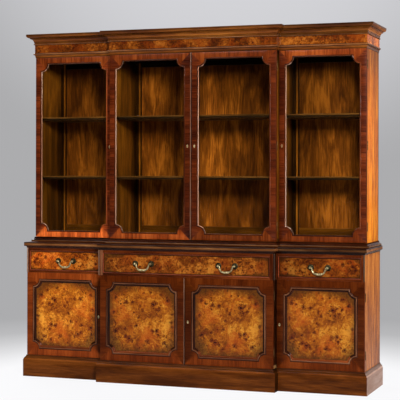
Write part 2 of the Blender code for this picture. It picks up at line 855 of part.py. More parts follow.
def add_posts(front, places, z):
    """Roses and posts turned on the drawer's front, each with an eye across its knob."""
    shape = turned("post", post_shares, ROSE_RADIUS, POST_LENGTH, EMBED, POST_SEGMENTS)
    outwards = Matrix.Rotation(math.pi / 2, 4, "X")
    bm = bmesh.new()
    for x in places:
        before = set(bm.verts)
        bm.from_mesh(shape)
        new = [vert for vert in bm.verts if vert not in before]
        bmesh.ops.transform(bm, matrix=Matrix.Translation((x, 0, z)) @ outwards, verts=new)
    combine(front, "UNION", "posts", finished(bm, "posts"), BRASS)
    bpy.data.meshes.remove(shape)
    across = Matrix.Rotation(math.pi / 2, 4, "Y")
    eyes = [((x, -KNOB_REACH, z), 2 * ROSE_RADIUS) for x in places]
    combine(front, "DIFFERENCE", "eyes", rods("eyes", EYE_RADIUS, EYE_SIDES, across, *eyes))


def build_drawer_box(side, face, half, foot, axis):
    """Sides, back and bottom, open at the top and closed in front by the drawer's front."""
    near = DRAWER_FRONT_THICKNESS + SEAT_GAP
    far = LOWER.back - DRAWER_BACK_SPACE - face
    outer = half - DRAWER_SIDE_INSET
    inner = outer - DRAWER_SIDE
    top = DRAWER_OPENING_HEIGHT - DRAWER_SIDE_DROP
    name = f"drawer_box_{side}"
    box = place(name, boxes(name, ((-outer, near, foot), (outer, far, top))), OAK, axis)
    inside = (
        (-inner, near - OVERRUN, foot + DRAWER_BOTTOM),
        (inner, far - DRAWER_SIDE, top + OVERRUN),
    )
    combine(box, "DIFFERENCE", "inside", boxes("inside", inside))


def build_bail(name, x, z, slide):
    """A swan-neck bail that hangs from its two posts and swings about their eyes."""
    axis = axis_empty(f"{name}_axis", (x, -KNOB_REACH, z), slide)
    half = [
        (POST_SPACING / 2 * along, -BAIL_DROP * down, BAIL_RADIUS * thick)
        for along, down, thick in bail_shares
    ]
    points = half + [(-along, up, thick) for along, up, thick in half[-2::-1]]
    curve = bpy.data.curves.new(name, "CURVE")
    curve.dimensions = "3D"
    curve.bevel_depth = BAIL_RADIUS
    curve.bevel_resolution = BAIL_BEVEL_STEPS
    curve.use_fill_caps = True
    spline = curve.splines.new("POLY")
    spline.points.add(len(points) - 1)
    for point, (along, up, thick) in zip(spline.points, points):
        point.co = (along, 0, up, 1)
        point.radius = thick / BAIL_RADIUS
    curve.materials.append(BRASS)
    made = bpy.data.objects.new(name, curve)
    made.parent = axis
    PARTS.objects.link(made)


def build_drawers():
    """A drawer in each wing with one handle, and a wide one in the centre with two."""
    for side, low, high, face in bays(LOWER, DRAWER_STILE):
        quarter = (high - low) / 4
        handles = (-quarter, quarter) if side == "centre" else (0,)
        build_drawer(side, low, high, face, handles)


clear_scene()
PARTS = new_collection("breakfront_bookcase")
CUTTERS = new_collection("cutters")
MAHOGANY = material("mahogany", (0.21, 0.05, 0.015), 0.32)
MAHOGANY_DARK = material("dark mahogany", (0.11, 0.022, 0.010), 0.28)
BURL = material("burl veneer", (0.50, 0.19, 0.04), 0.30)
OAK = material("drawer lining oak", (0.30, 0.16, 0.07), 0.55)
BRASS = material("aged brass", (0.55, 0.38, 0.16), 0.30, metallic=1.0)
GLASS = material("glass", (0.80, 0.86, 0.84), 0.03, alpha=0.25)

build_plinth()
build_base_case()
build_base_rails()
build_shelves(LOWER, "cupboard_shelf", (("", CUPBOARD_SHELF_Z),), CUPBOARD_SHELF, OAK)
build_drawers()
build_doors(LOWER, LOWER_DOOR_Z, PANELLED, "lower_door", "lower_panel", BURL)
build_base_top()
build_waist()
build_upper_case()
upper_levels = (("low", LOW_SHELF_Z), ("high", HIGH_SHELF_Z))
build_shelves(UPPER, "shelf", upper_levels, UPPER_SHELF, MAHOGANY)
build_doors(UPPER, UPPER_DOOR_Z, GLAZED, "upper_door", "glass", GLASS)
build_entablature()
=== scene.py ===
"""Breakfront bookcase: fine mouldings, veneers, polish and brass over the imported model.

Metres, in the frame's own axes: +Z up, the front faces -Y. Each new piece is worked out
with numpy as grids of points, and rides on the body of the node that it stands for. Every
face corner carries a "grain" vector: solid wood coordinates that run first along the fibres.
"""

import json
import math
from collections import namedtuple

import bmesh
import bpy
import numpy as np
from mathutils import Matrix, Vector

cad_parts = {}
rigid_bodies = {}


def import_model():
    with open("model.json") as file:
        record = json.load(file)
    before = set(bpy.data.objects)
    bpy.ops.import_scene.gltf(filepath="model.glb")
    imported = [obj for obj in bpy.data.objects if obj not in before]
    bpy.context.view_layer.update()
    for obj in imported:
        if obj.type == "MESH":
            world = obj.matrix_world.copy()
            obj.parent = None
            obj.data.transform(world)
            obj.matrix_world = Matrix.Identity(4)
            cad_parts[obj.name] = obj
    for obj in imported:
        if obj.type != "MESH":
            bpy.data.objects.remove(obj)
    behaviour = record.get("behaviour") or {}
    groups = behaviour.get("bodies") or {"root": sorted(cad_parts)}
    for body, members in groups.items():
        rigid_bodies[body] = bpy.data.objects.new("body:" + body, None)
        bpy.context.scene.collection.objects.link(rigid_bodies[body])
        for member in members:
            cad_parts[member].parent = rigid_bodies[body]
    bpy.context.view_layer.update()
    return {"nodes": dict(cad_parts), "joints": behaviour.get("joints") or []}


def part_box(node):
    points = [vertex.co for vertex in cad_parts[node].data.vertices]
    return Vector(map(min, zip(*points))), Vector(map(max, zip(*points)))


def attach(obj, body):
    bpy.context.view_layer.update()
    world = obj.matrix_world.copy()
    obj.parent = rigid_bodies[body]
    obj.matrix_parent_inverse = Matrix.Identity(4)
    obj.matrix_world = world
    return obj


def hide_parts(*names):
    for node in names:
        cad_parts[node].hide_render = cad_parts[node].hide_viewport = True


for startup in list(bpy.data.objects):
    bpy.data.objects.remove(startup)
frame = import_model()
HINGES = {joint["name"]: np.array(joint["pos_m"]) for joint in frame["joints"] if "pos_m" in joint}

# Real sizes shared with the solids
SEAT_GAP = 0.0003
DOOR_THICKNESS = 0.022
UPPER_MARGIN = 0.032
BEAD_WIDTH = 0.008
BEAD_PROUD = 0.0028
UPPER_NOTCH = 0.042
LOWER_MARGIN = 0.038
BOLECTION_WIDTH = 0.022
LOWER_NOTCH = 0.038
NOTCH_FILLET = 0.004
GLASS_SEAT = 0.010
GLASS_REBATE = 0.009
PANEL_SEAT = 0.008
PANEL_REBATE = 0.014
MEETING_BEAD = 0.009
KNUCKLE_RADIUS = 0.0032
KNUCKLE_GAP = 0.0004
HINGE_LENGTH = 0.050
HINGE_INSET = 0.065
DRAWER_FRONT_THICKNESS = 0.020
COCKBEAD_WIDTH = 0.005
COCKBEAD_PROUD = 0.003
POST_SPACING = 0.100
ROSE_RADIUS = 0.0185
POST_LENGTH = 0.0225
KNOB_REACH = 0.016
BAIL_RADIUS = 0.0033
BAIL_DROP = 0.037
PLINTH_PROJECTION = 0.0185
PLINTH_BOARD = 0.030
NOSE_PROJECTION = 0.015
WAIST_PROJECTION = 0.019
FRIEZE_PROJECTION = 0.012
FRIEZE_BOARD = 0.020
CORNICE_PROJECTION = 0.046
CORNICE_BOARD = 0.010

BACK_RECESS = 0.008
BACK_STILE = 0.038
BACK_RAIL = 0.050

# Sizes of the fine work only
BACK_HEAD = 0.030
BEAD_SHADOW_WIDTH = 0.0035
REED_RADIUS = 0.0044
ARRIS = 0.0007
CREASE = math.radians(32)
FLAT = math.radians(0.5)
MERGE = 0.000002
NOTCH_STEPS = 18
EASE_STEPS = 6
ROUND_STEPS = 40
SLEEVE = 0.00012
ESCUTCHEON_HALF = (0.0052, 0.0092)
ESCUTCHEON_PROUD = 0.0011
KEYHOLE_RADIUS = ESCUTCHEON_HALF[0] * 0.24
KNOB_SHARE = 0.78
COCKBEAD_FOOT = 0.0005
LEAF = 0.004
UPPER_KEY_Z = 1.4035
LOWER_KEY_Z = 0.378
KEY_INSET = 0.0165
BREAK_KEY_INSET = 0.0325


def face_plane(joint):
    """Y of a door's front, from its hinge, which stands just behind its back."""
    return HINGES[joint][1] - DOOR_THICKNESS - SEAT_GAP


Case = namedtuple("Case", "half centre_half wing_y centre_y back")
LOWER = Case(
    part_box("base_back")[1].x,
    HINGES["lower_door_centre_right_hinge"][0],
    face_plane("lower_door_left_hinge"),
    face_plane("lower_door_centre_left_hinge"),
    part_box("base_back")[1].y,
)
UPPER = Case(
    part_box("upper_back")[1].x,
    HINGES["upper_door_centre_right_hinge"][0],
    face_plane("upper_door_left_hinge"),
    face_plane("upper_door_centre_left_hinge"),
    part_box("upper_back")[1].y,
)

SIDES = ("left", "centre_left", "centre_right", "right")
BAYS = ("left", "centre", "right")

# Which way the fibres run
X, Y, Z = 0, 1, 2
ORDERS = np.array(((0, 1, 2), (1, 2, 0), (2, 0, 1)))
SEED_STEP = np.array((0.731, 0.419, 0.577))

# Features of the woods and the burr: how many there are a metre, along the fibres and across
BROAD_GRAIN = (1.4, 5.0, 5.0)
BAND_LENGTH = 3.2
STREAK_GRAIN = (11.0, 240.0, 240.0)
PORE_GRAIN = (130.0, 1900.0, 1900.0)
SWELL_SCALE = 11.0
CURL_SCALE = 60.0
CLOUD_SCALE = 8.5
FLOW_SCALE = 19.0
MOTTLE_SCALE = 62.0
FIBRE_SCALE = 260.0
BLUSH_SCALE = 7.0
VEIN_SCALE = 30.0
EYE_SCALE = 30.0
PIP_SCALE = 80.0
CLUSTER_SCALE = 13.0

# How far the burr is stirred, in metres, and how square the shade along its edge is
SWELL_REACH = (0.06, 0.06, 0.02)
CURL_REACH = (0.032, 0.032, 0.004)
SQUARENESS = 3.5

# Share of each layer in the lightness of the woods and of the burr, and how fast its fine lines turn
BROAD_SHARE, BAND_SHARE, STREAK_SHARE = 0.45, 0.62, 0.38
CLOUD_SHARE, MOTTLE_SHARE, FLOW_SHARE, LINE_SHARE = 0.44, 0.41, 0.15, 0.026
FLOW_TURNS, MOTTLE_TURNS = 95.0, 9.0


def tone(red, green, blue):
    """A colour given on a 0 to 255 screen scale, as the linear value that shaders take."""
    share = np.array((red, green, blue)) / 255
    linear = np.where(share > 0.04045, ((share + 0.055) / 1.055) ** 2.4, share / 12.92)
    return (*linear.tolist(), 1)


def xyz(x, y, z):
    """Points from three coordinates, each a number or an array, spread over one grid."""
    return np.stack(np.broadcast_arrays(x, y, z), axis=-1).astype(float)


def arc(centre, radius, start, end, steps):
    """Points centre + radius (cos t, sin t), with t from start to end in half turns."""
    turn = np.linspace(start, end, steps) * np.pi
    return np.asarray(centre) + np.asarray(radius) * np.stack((np.cos(turn), np.sin(turn)), axis=1)


def eased(points, steps=EASE_STEPS):
    """A smooth line through given points.

    Each span is a Catmull-Rom cubic: its slope at a point is half the step between that
    point's two neighbours.
    """
    p = np.asarray(points, float)
    p = np.concatenate((2 * p[:1] - p[1:2], p, 2 * p[-1:] - p[-2:-1]))
    a, b, c, d = p[:-3], p[1:-2], p[2:-1], p[3:]
    t = np.arange(steps)[:, None, None] / steps
    line = b + t * (c - a) / 2 + t**2 * (2 * a - 5 * b + 4 * c - d) / 2
    line = line + t**3 * (3 * b - a - 3 * c + d) / 2
    return np.concatenate((line.swapaxes(0, 1).reshape(-1, p.shape[1]), p[-2:-1]))


def joined(*stretches):
    """One profile of several stretches, with a sharp corner where two of them meet."""
    return np.concatenate([np.asarray(stretch, float) for stretch in stretches])


class Shell:
    """Grids of points gathered for one piece, before they become a mesh."""

    def __init__(self):
        self.points = []
        self.faces = []
        self.grain = []
        self.finish = []
        self.stain = []
        self.count = 0

    def add(self, points, faces, along=X, finish=0, seed=0, stain=1.0, grain=None):
        """Adds faces of equal length between points; along, finish, seed and lightness may differ by face.

        finish is the number of the face's material in the list that piece takes, from 0. The
        grain of a corner is its place with the axes turned so that the fibres' own comes
        first, moved by the face's seed so that no two boards match. A lightness of 1.2 is a face
        a fifth lighter than its fellows: partly the wood's own tone, partly painted light and shade.
        """
        count = len(faces)
        corners = points[faces]
        stain = np.asarray(stain, float)
        if stain.ndim == 1:
            stain = stain[:, None]
        if grain is None:
            order = ORDERS[np.broadcast_to(along, count)][:, None, :]
            grain = np.take_along_axis(corners, np.broadcast_to(order, corners.shape), axis=2)
            grain = grain + np.broadcast_to(seed, count)[:, None, None] * SEED_STEP
        self.points.append(points)
        self.faces += (faces + self.count).tolist()
        self.grain.append(grain.reshape(-1, 3))
        self.finish.append(np.broadcast_to(finish, count))
        self.stain.append(np.broadcast_to(stain, faces.shape).reshape(-1))
        self.count += len(points)

    def grid(self, points, wrap_rows=False, wrap_columns=False, grain=None, point_tone_and_light=None, **per_face):
        """Skins a rows x columns x 3 grid with quads; per_face values may differ by row and column.

        Where grain or the points' lightness is given it holds a value for each point of the grid.
        """
        rows, columns = points.shape[:2]
        i = np.arange(rows if wrap_rows else rows - 1)[:, None]
        j = np.arange(columns if wrap_columns else columns - 1)[None, :]
        below, beside = (i + 1) % rows, (j + 1) % columns
        corners = (i * columns + j, i * columns + beside, below * columns + beside, below * columns + j)
        corners = np.broadcast_arrays(*corners)
        faces = np.stack(corners, axis=-1).reshape(-1, 4)
        shape = corners[0].shape
        spread = {key: np.broadcast_to(value, shape).reshape(-1) for key, value in per_face.items()}
        if grain is not None:
            grain = grain.reshape(-1, 3)[faces]
        if point_tone_and_light is not None:
            spread["stain"] = np.broadcast_to(point_tone_and_light, points.shape[:2]).reshape(-1)[faces]
        self.add(points.reshape(-1, 3), faces, grain=grain, **spread)

    def piece(self, name, body, finishes, stands_for=(), slot=None):
        """Makes the mesh: doubles merged, faces turned outwards, edges sharp past the crease angle."""
        mesh = bpy.data.meshes.new(name)
        mesh.from_pydata(np.concatenate(self.points).tolist(), [], self.faces)
        mesh.polygons.foreach_set("material_index", np.concatenate(self.finish).astype(np.int32))
        grain = mesh.attributes.new("grain", "FLOAT_VECTOR", "CORNER")
        grain.data.foreach_set("vector", np.concatenate(self.grain).astype(np.float32).ravel())
        stain = mesh.attributes.new("stain", "FLOAT", "CORNER")
        stain.data.foreach_set("value", np.concatenate(self.stain).astype(np.float32))
        bm = bmesh.new()
        bm.from_mesh(mesh)
        bmesh.ops.remove_doubles(bm, verts=bm.verts, dist=MERGE)
        bmesh.ops.recalc_face_normals(bm, faces=bm.faces)
        bm.to_mesh(mesh)
        bm.free()
        for finish in finishes:
            mesh.materials.append(finish)
        mesh.shade_smooth()
        mesh.set_sharp_from_angle(angle=CREASE)
        made = bpy.data.objects.new(name, mesh)
        bpy.context.scene.collection.objects.link(made)
        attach(made, body)
        if stands_for:
            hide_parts(*stands_for)
        return made


def turned(shell, profile, centre, axis, **per_face):
    """Adds a lathe-turned shape: a profile of (radius, height) points swept round an axis.

    The ring at each profile point is centre + height * axis + radius * (cos t, sin t) in
    the two directions across the axis.
    """
    turn = np.linspace(0, 2 * np.pi, ROUND_STEPS, endpoint=False)
    across = np.roll(np.eye(3), -axis, axis=0)
    ring = np.cos(turn)[:, None] * across[1] + np.sin(turn)[:, None] * across[2]
    radius, height = np.asarray(profile, float).T
    points = centre + radius[:, None, None] * ring[None] + height[:, None, None] * across[0]
    shell.grid(points, wrap_columns=True, along=axis, **per_face)


def half_round(shell, centre, radius, ends, steps, **per_face):
    """Adds a half round on end: an arc in plan, bulging forwards, carried up between two heights."""
    line = arc(centre, (radius, -radius), 0, 1, steps)
    points = xyz(line[:, 0], line[:, 1], np.array(ends)[:, None])
    shell.grid(points, along=Z, **per_face)
    for row in points:
        shell.add(row, np.arange(steps)[None], along=Z)
    return points


class Wiring:
    """A node tree being wired up: each method adds a node and returns its output socket."""

    def __init__(self, tree):
        self.tree = tree

    def put(self, kind, inputs, **settings):
        made = self.tree.nodes.new(kind)
        for setting, value in settings.items():
            setattr(made, setting, value)
        for socket, value in inputs.items():
            if isinstance(value, bpy.types.NodeSocket):
                self.tree.links.new(value, made.inputs[socket])
            else:
                made.inputs[socket].default_value = value
        return made

    def vector(self, operation, a, b=(0, 0, 0), output="Vector"):
        return self.put("ShaderNodeVectorMath", {0: a, 1: b}, operation=operation).outputs[output]

    def math(self, operation, a, b=0.0, c=0.0):
        return self.put("ShaderNodeMath", {0: a, 1: b, 2: c}, operation=operation).outputs[0]

    def noise(self, place, scale, detail=3.0, roughness=0.55, distortion=0.0, output=0):
        if not isinstance(scale, (int, float)):
            place = self.vector("MULTIPLY", place, scale)
            scale = 1.0
        inputs = {"Vector": place, "Scale": scale, "Detail": detail}
        inputs |= {"Roughness": roughness, "Distortion": distortion}
        return self.put("ShaderNodeTexNoise", inputs).outputs[output]

    def stirred(self, place, field, reach):
        """A place moved by a field of colours, up to half of reach each way."""
        field = self.vector("SUBTRACT", field, (0.5, 0.5, 0.5))
        return self.vector("ADD", place, self.vector("MULTIPLY", field, reach))

    def mixed(self, *layers):
        """The sum of (value, share) layers, each value times its share."""
        total = 0.0
        for value, share in layers:
            total = self.math("MULTIPLY_ADD", value, share, total)
        return total

    def spread(self, value, low, high, to_low=0.0, to_high=1.0):
        """A value's range from low to high stretched over another range, eased at both ends."""
        inputs = {"Value": value, "From Min": low, "From Max": high, "To Min": to_low, "To Max": to_high}
        return self.put("ShaderNodeMapRange", inputs, interpolation_type="SMOOTHSTEP").outputs[0]

    def blend(self, share, a, b, kind="MIX"):
        made = self.put("ShaderNodeMix", {0: share, 6: a, 7: b}, data_type="RGBA", blend_type=kind)
        return made.outputs[2]

    def ramp(self, share, *stops):
        made = self.put("ShaderNodeValToRGB", {0: share})
        marks = made.color_ramp.elements
        while len(marks) < len(stops):
            marks.new(0.5)
        for mark, (place, colour) in zip(marks, stops):
            mark.position = place
            mark.color = colour
        return made.outputs[0]


class Finish(Wiring):
    """A surface material on the Principled shader."""

    def __init__(self, name, **fixed):
        self.material = bpy.data.materials.new(name)
        self.material.use_nodes = True
        super().__init__(self.material.node_tree)
        self.shader = self.tree.nodes["Principled BSDF"]
        for socket, value in fixed.items():
            self.shader.inputs[socket.replace("_", " ").title().replace("Ior", "IOR")].default_value = value

    def to_shader(self, socket, value):
        self.tree.links.new(value, self.shader.inputs[socket])

    def place(self, along=None):
        """Grain coordinates of a new piece, or Object coordinates turned so that along comes first."""
        if along is None:
            return self.put("ShaderNodeAttribute", {}, attribute_name="grain").outputs["Vector"]
        place = self.put("ShaderNodeTexCoord", {}).outputs["Object"]
        parts = self.put("ShaderNodeSeparateXYZ", {0: place}).outputs
        order = ORDERS[along]
        return self.put("ShaderNodeCombineXYZ", {i: parts[int(order[i])] for i in range(3)}).outputs[0]

    def toned_and_lit(self, colour):
        """The colour times the corner's lightness: partly the board's own tone, partly painted light and
        shade.
        """
        stain = self.put("ShaderNodeAttribute", {}, attribute_name="stain").outputs["Fac"]
        stain = self.put("ShaderNodeCombineXYZ", {0: stain, 1: stain, 2: stain}).outputs[0]
        return self.vector("MULTIPLY", colour, stain)

    def show(self, share, under, over):
        """Shows one shader where share is 0 and the other where it is 1."""
        mix = self.put("ShaderNodeMixShader", {0: share, 1: under.outputs[0], 2: over.outputs[0]})
        self.tree.links.new(mix.outputs[0], self.tree.nodes["Material Output"].inputs["Surface"])

    def bump(self, height, strength, distance):
        inputs = {"Height": height, "Strength": strength, "Distance": distance}
        self.to_shader("Normal", self.put("ShaderNodeBump", inputs).outputs[0])


def timber(
    name, dark, middle, light, along=None, figure=26, gloss=0.24, wave=0.35, coat=0.16, contrast=1, sheen=0.08
):
    """Polished wood: broad bands, streaks and pores, each a noise stretched along the fibres.

    figure is how many bands lie in a metre across the fibres, and wave how much they waver.
    gloss is a roughness, coat the weight of the polish and sheen the shine of the wood under it.
    """
    made = Finish(name, coat_weight=coat, coat_roughness=0.07, specular_ior_level=sheen)
    place = made.place(along)
    broad = made.noise(place, BROAD_GRAIN, 2.0)
    bands = made.noise(place, (BAND_LENGTH, figure, figure), 5.0, 0.6, wave)
    streaks = made.noise(place, STREAK_GRAIN, 3.0, 0.6)
    pores = made.noise(place, PORE_GRAIN, 1.0)
    broad = made.math("SUBTRACT", broad, 0.5)
    value = made.mixed((streaks, STREAK_SHARE), (bands, BAND_SHARE), (broad, BROAD_SHARE))
    reach = 0.14 / contrast
    colour = made.ramp(value, (0.5 - reach, tone(*dark)), (0.50, tone(*middle)), (0.5 + reach, tone(*light)))
    flecks = made.spread(pores, 0.56, 0.70, 1.0, 0.62)
    colour = made.blend(1.0, colour, flecks, "MULTIPLY")
    made.to_shader("Base Color", colour if along is not None else made.toned_and_lit(colour))
    made.to_shader("Roughness", made.spread(streaks, 0.35, 0.65, gloss, gloss + 0.10))
    made.bump(made.math("ADD", streaks, pores), 0.10, 0.0003)
    return made.material


def burl(name, half, knots, patches, ground, shade, clear_share=0.80, pepper=0.5, contrast=1.0):
    """Burr veneer: warped clouds of amber, curling lines, ringed knots at set places and scattered pips.

    The grain's first two coordinates are metres from the middle of the piece. The curling
    lines are the sine of a cloud field, so they follow its contours. A knot's field is the
    least distance to any knot over that knot's size, so one ramp draws every eye and ring.
    knots and patches are (across share, up share, size) from the middle. Towards the edge,
    past clear_share, (|across|^n + |up|^n)^(1/n) brings in the shade colour: partly the
    veneer's darker patina, partly painted shade from the surround. pepper is how densely
    the pips lie.
    """
    made = Finish(name, coat_weight=0.16, coat_roughness=0.07, specular_ior_level=0.08)
    *stops, flush = [tone(*colour) for colour in ground]
    place = made.place()
    warped = made.stirred(place, made.noise(place, SWELL_SCALE, 2.0, output=1), SWELL_REACH)
    curled = made.stirred(place, made.noise(warped, CURL_SCALE, 3.0, 0.6, output=1), CURL_REACH)
    clouds = made.noise(warped, CLOUD_SCALE, 3.0, 0.55)
    flow = made.noise(warped, FLOW_SCALE, 2.0, 0.5, 1.2)
    mottle = made.noise(warped, MOTTLE_SCALE, 4.0, 0.6, 1.0)
    fibre = made.noise(warped, FIBRE_SCALE, 3.0, 0.6, 0.8)
    lines = made.math("SINE", made.mixed((mottle, MOTTLE_TURNS), (flow, FLOW_TURNS)))
    layers = (mottle, MOTTLE_SHARE), (clouds, CLOUD_SHARE), (flow, FLOW_SHARE), (lines, LINE_SHARE)
    value = made.math("SUBTRACT", made.mixed(*layers), 0.5)
    value = made.math("MULTIPLY_ADD", value, contrast, 0.5)
    colour = made.ramp(value, *zip((0.40, 0.47, 0.53, 0.61), stops))
    blush = made.spread(made.noise(place, BLUSH_SCALE, 3.0, 0.6, 0.6), 0.46, 0.66, 0.0, 0.55)
    colour = made.blend(blush, colour, flush)

    def nearest(places):
        least = None
        for across, up, size in places:
            away = made.vector("SUBTRACT", curled, (across * half[0], up * half[1], 0))
            away = made.vector("LENGTH", made.vector("MULTIPLY", away, (1, 1, 0)), output="Value")
            away = made.math("DIVIDE", away, size)
            least = away if least is None else made.math("MINIMUM", least, away)
        return least

    eye = tone(48, 12, 5)
    rim = tone(120, 42, 9)
    vein = made.math("SUBTRACT", made.noise(warped, VEIN_SCALE, 3.0, 0.55, 1.6), 0.5)
    vein = made.spread(made.math("ABSOLUTE", vein), 0.0, 0.030, 0.70, 0.0)
    vein = made.math("MULTIPLY", vein, made.spread(clouds, 0.42, 0.58, 1.0, 0.15))
    colour = made.blend(vein, colour, rim)
    if knots:
        near = made.math("MULTIPLY", nearest(knots), 1.05)
        colour = made.blend(made.spread(near, 1.0, 2.4, 0.70, 0.0), colour, rim)
        ring = made.math("ABSOLUTE", made.math("SUBTRACT", near, 1.5))
        colour = made.blend(made.spread(ring, 0.10, 0.40, 0.55, 0.0), colour, eye)
        colour = made.blend(made.spread(near, 0.55, 0.90, 0.95, 0.0), colour, eye)
    eyes = made.put("ShaderNodeTexVoronoi", {"Vector": curled, "Scale": EYE_SCALE, "Randomness": 1.0}).outputs
    some = made.spread(made.put("ShaderNodeSeparateColor", {0: eyes["Color"]}).outputs[0], 0.44, 0.54)
    halo = made.math("MULTIPLY", some, made.spread(eyes["Distance"], 0.10, 0.36, 0.75, 0.0))
    colour = made.blend(halo, colour, rim)
    core = made.math("MULTIPLY", some, made.spread(eyes["Distance"], 0.08, 0.15, 0.92, 0.0))
    colour = made.blend(core, colour, eye)
    cells = made.put("ShaderNodeTexVoronoi", {"Vector": curled, "Scale": PIP_SCALE, "Randomness": 1.0})
    pips = made.spread(cells.outputs["Distance"], 0.14, 0.40, 1.0, 0.0)
    clusters = made.noise(place, CLUSTER_SCALE, 1.0)
    dense = made.spread(clusters, 0.52 - 0.20 * pepper, 0.62, 0.0, 0.5 + 0.5 * pepper)
    if patches:
        dense = made.math("MAXIMUM", dense, made.spread(nearest(patches), 0.7, 1.2, 1.0, 0.0))
    colour = made.blend(made.math("MULTIPLY", pips, dense), colour, eye)
    # The olive towards the edge: partly the veneer's patina, partly painted shade from the surround
    if shade:
        parts = made.put("ShaderNodeSeparateXYZ", {0: warped}).outputs
        shares = [made.math("ABSOLUTE", made.math("DIVIDE", parts[i], half[i])) for i in range(2)]
        powers = [made.math("POWER", share, SQUARENESS) for share in shares]
        edge = made.math("POWER", made.math("ADD", *powers), 1 / SQUARENESS)
        edge = made.math("MULTIPLY_ADD", made.math("SUBTRACT", flow, 0.5), 0.30, edge)
        colour = made.blend(made.spread(edge, clear_share, 1.08, 0.0, 0.74), colour, tone(*shade))
    made.to_shader("Base Color", made.toned_and_lit(colour))
    made.to_shader("Roughness", made.spread(fibre, 0.35, 0.65, 0.20, 0.32))
    made.bump(made.math("ADD", mottle, fibre), 0.08, 0.0003)
    return made.material


def metal(name, colour, tarnish, gloss, speckle):
    """Old lacquered brass: tarnish in clouds, speckle to a metre, over metal that fingers have rubbed."""
    made = Finish(name, metallic=1.0)
    place = made.put("ShaderNodeTexCoord", {}).outputs["Object"]
    clouds = made.noise(place, speckle, 4.0, 0.6)
    grime = made.noise(place, speckle * 7, 3.0)
    made.to_shader("Base Color", made.ramp(clouds, (0.40, tone(*tarnish)), (0.58, tone(*colour))))
    made.to_shader("Roughness", made.spread(grime, 0.35, 0.65, gloss, gloss + 0.15))
    made.bump(grime, 0.15, 0.0002)
    return made.material


def pane_glass():
    """Thin clear glass; light goes through it unbent, and only what looks through it sees its gloss."""
    clear_gloss = {"roughness": 0.0, "ior": 1.10, "transmission_weight": 1.0}
    made = Finish("window_glass", base_color=tone(248, 252, 250), **clear_gloss)
    path = made.put("ShaderNodeLightPath", {}).outputs
    clear = made.put("ShaderNodeBsdfTransparent", {})
    seen = made.math("MAXIMUM", path["Is Camera Ray"], path["Is Transmission Ray"])
    made.show(seen, clear, made.shader)
    return made.material


# Knots of the matched burr leaves, as shares of the leaf's half sizes, and their sizes
PANEL_KNOTS = (
    (-0.84, 0.64, 0.0070), (-0.50, 0.52, 0.0085), (-0.30, 0.50, 0.0060), (-0.06, 0.40, 0.0050),
    (0.02, 0.26, 0.0048), (0.36, 0.46, 0.0085), (0.46, 0.50, 0.0055), (0.54, 0.34, 0.0060),
    (0.44, 0.30, 0.0050), (0.06, 0.80, 0.0045), (0.28, 0.84, 0.0045), (0.60, 0.78, 0.0055),
    (-0.90, 0.18, 0.0045), (-0.10, 0.04, 0.0052), (-0.18, -0.22, 0.0070), (-0.54, -0.32, 0.0050),
    (-0.84, -0.40, 0.0085), (-0.40, -0.62, 0.0100), (-0.52, -0.56, 0.0070), (-0.30, -0.70, 0.0060),
    (0.18, -0.70, 0.0078), (0.34, -0.36, 0.0085), (0.48, -0.34, 0.0070), (0.52, -0.48, 0.0055),
    (0.92, -0.08, 0.0055), (0.82, 0.60, 0.0070), (0.70, -0.72, 0.0070),
)
PANEL_PATCHES = ((0.42, 0.42, 0.055), (-0.78, -0.62, 0.045), (-0.62, 0.60, 0.040), (0.78, -0.62, 0.040))
WING_DRAWER_KNOTS = (
    (-0.82, 0.20, 0.0075), (-0.88, -0.15, 0.0060), (-0.58, 0.34, 0.0070), (0.62, 0.45, 0.0050),
    (0.30, 0.60, 0.0050), (0.84, -0.30, 0.0055), (0.48, -0.40, 0.0045), (0.10, -0.55, 0.0045),
)
WING_DRAWER_PATCHES = ((0.55, 0.0, 0.075), (0.05, 0.2, 0.060), (-0.80, -0.5, 0.040))
CENTRE_DRAWER_KNOTS = (
    (-0.90, 0.20, 0.0060), (-0.70, 0.50, 0.0055), (-0.84, -0.30, 0.0060), (0.46, 0.30, 0.0060),
    (0.80, 0.0, 0.0065), (0.92, 0.40, 0.0055), (-0.30, -0.40, 0.0050), (0.10, 0.45, 0.0050),
)
CENTRE_DRAWER_PATCHES = ((-0.80, 0.10, 0.110), (0.70, 0.0, 0.120), (-0.25, 0.3, 0.060))

AMBER = ((112, 54, 9), (152, 79, 14), (184, 103, 20), (226, 150, 46), (184, 76, 16))
COPPER = ((90, 42, 9), (130, 65, 15), (164, 86, 22), (212, 130, 44), (150, 62, 14))
FIERY = ((118, 52, 9), (168, 80, 15), (206, 106, 24), (244, 150, 52), (196, 74, 16))
RUSSET = ((64, 26, 6), (104, 48, 10), (142, 70, 16), (190, 108, 34), (150, 62, 12))
OLIVE = (64, 38, 12)

LOW_BAND = timber(
    "lower_crossband", (80, 30, 8), (112, 46, 13), (142, 66, 22),
    figure=30, coat=0.05, contrast=0.8, sheen=0.02,
)
STILE_BAND = timber("stile_crossband", (60, 19, 6), (90, 33, 9), (124, 52, 18), figure=40)
RAIL_BAND = timber(
    "rail_crossband", (76, 28, 8), (112, 46, 14), (146, 70, 26),
    figure=40, coat=0.06, sheen=0.03,
)
MOULDING = timber("polished_moulding", (40, 14, 5), (68, 28, 9), (96, 44, 16), gloss=0.22)
DULL_TOP = timber("dull_top", (40, 14, 5), (68, 28, 9), (96, 44, 16), gloss=0.55, coat=0.0, sheen=0.01)
# Pale finish for the panels' moulding crests and a partition's front edge: painted highlight
PAINTED_EDGE_HIGHLIGHT = timber("painted_edge_highlight", (84, 46, 26), (116, 70, 44), (150, 102, 72), gloss=0.22)
# Pale finish for the mouldings' rounds: painted highlight
PAINTED_NOSE_HIGHLIGHT = timber("painted_nose_highlight", (104, 58, 28), (146, 88, 46), (186, 126, 76), gloss=0.22)
COCKBEAD_WOOD = timber("cockbead_mahogany", (84, 32, 14), (116, 50, 26), (150, 76, 46), gloss=0.22)
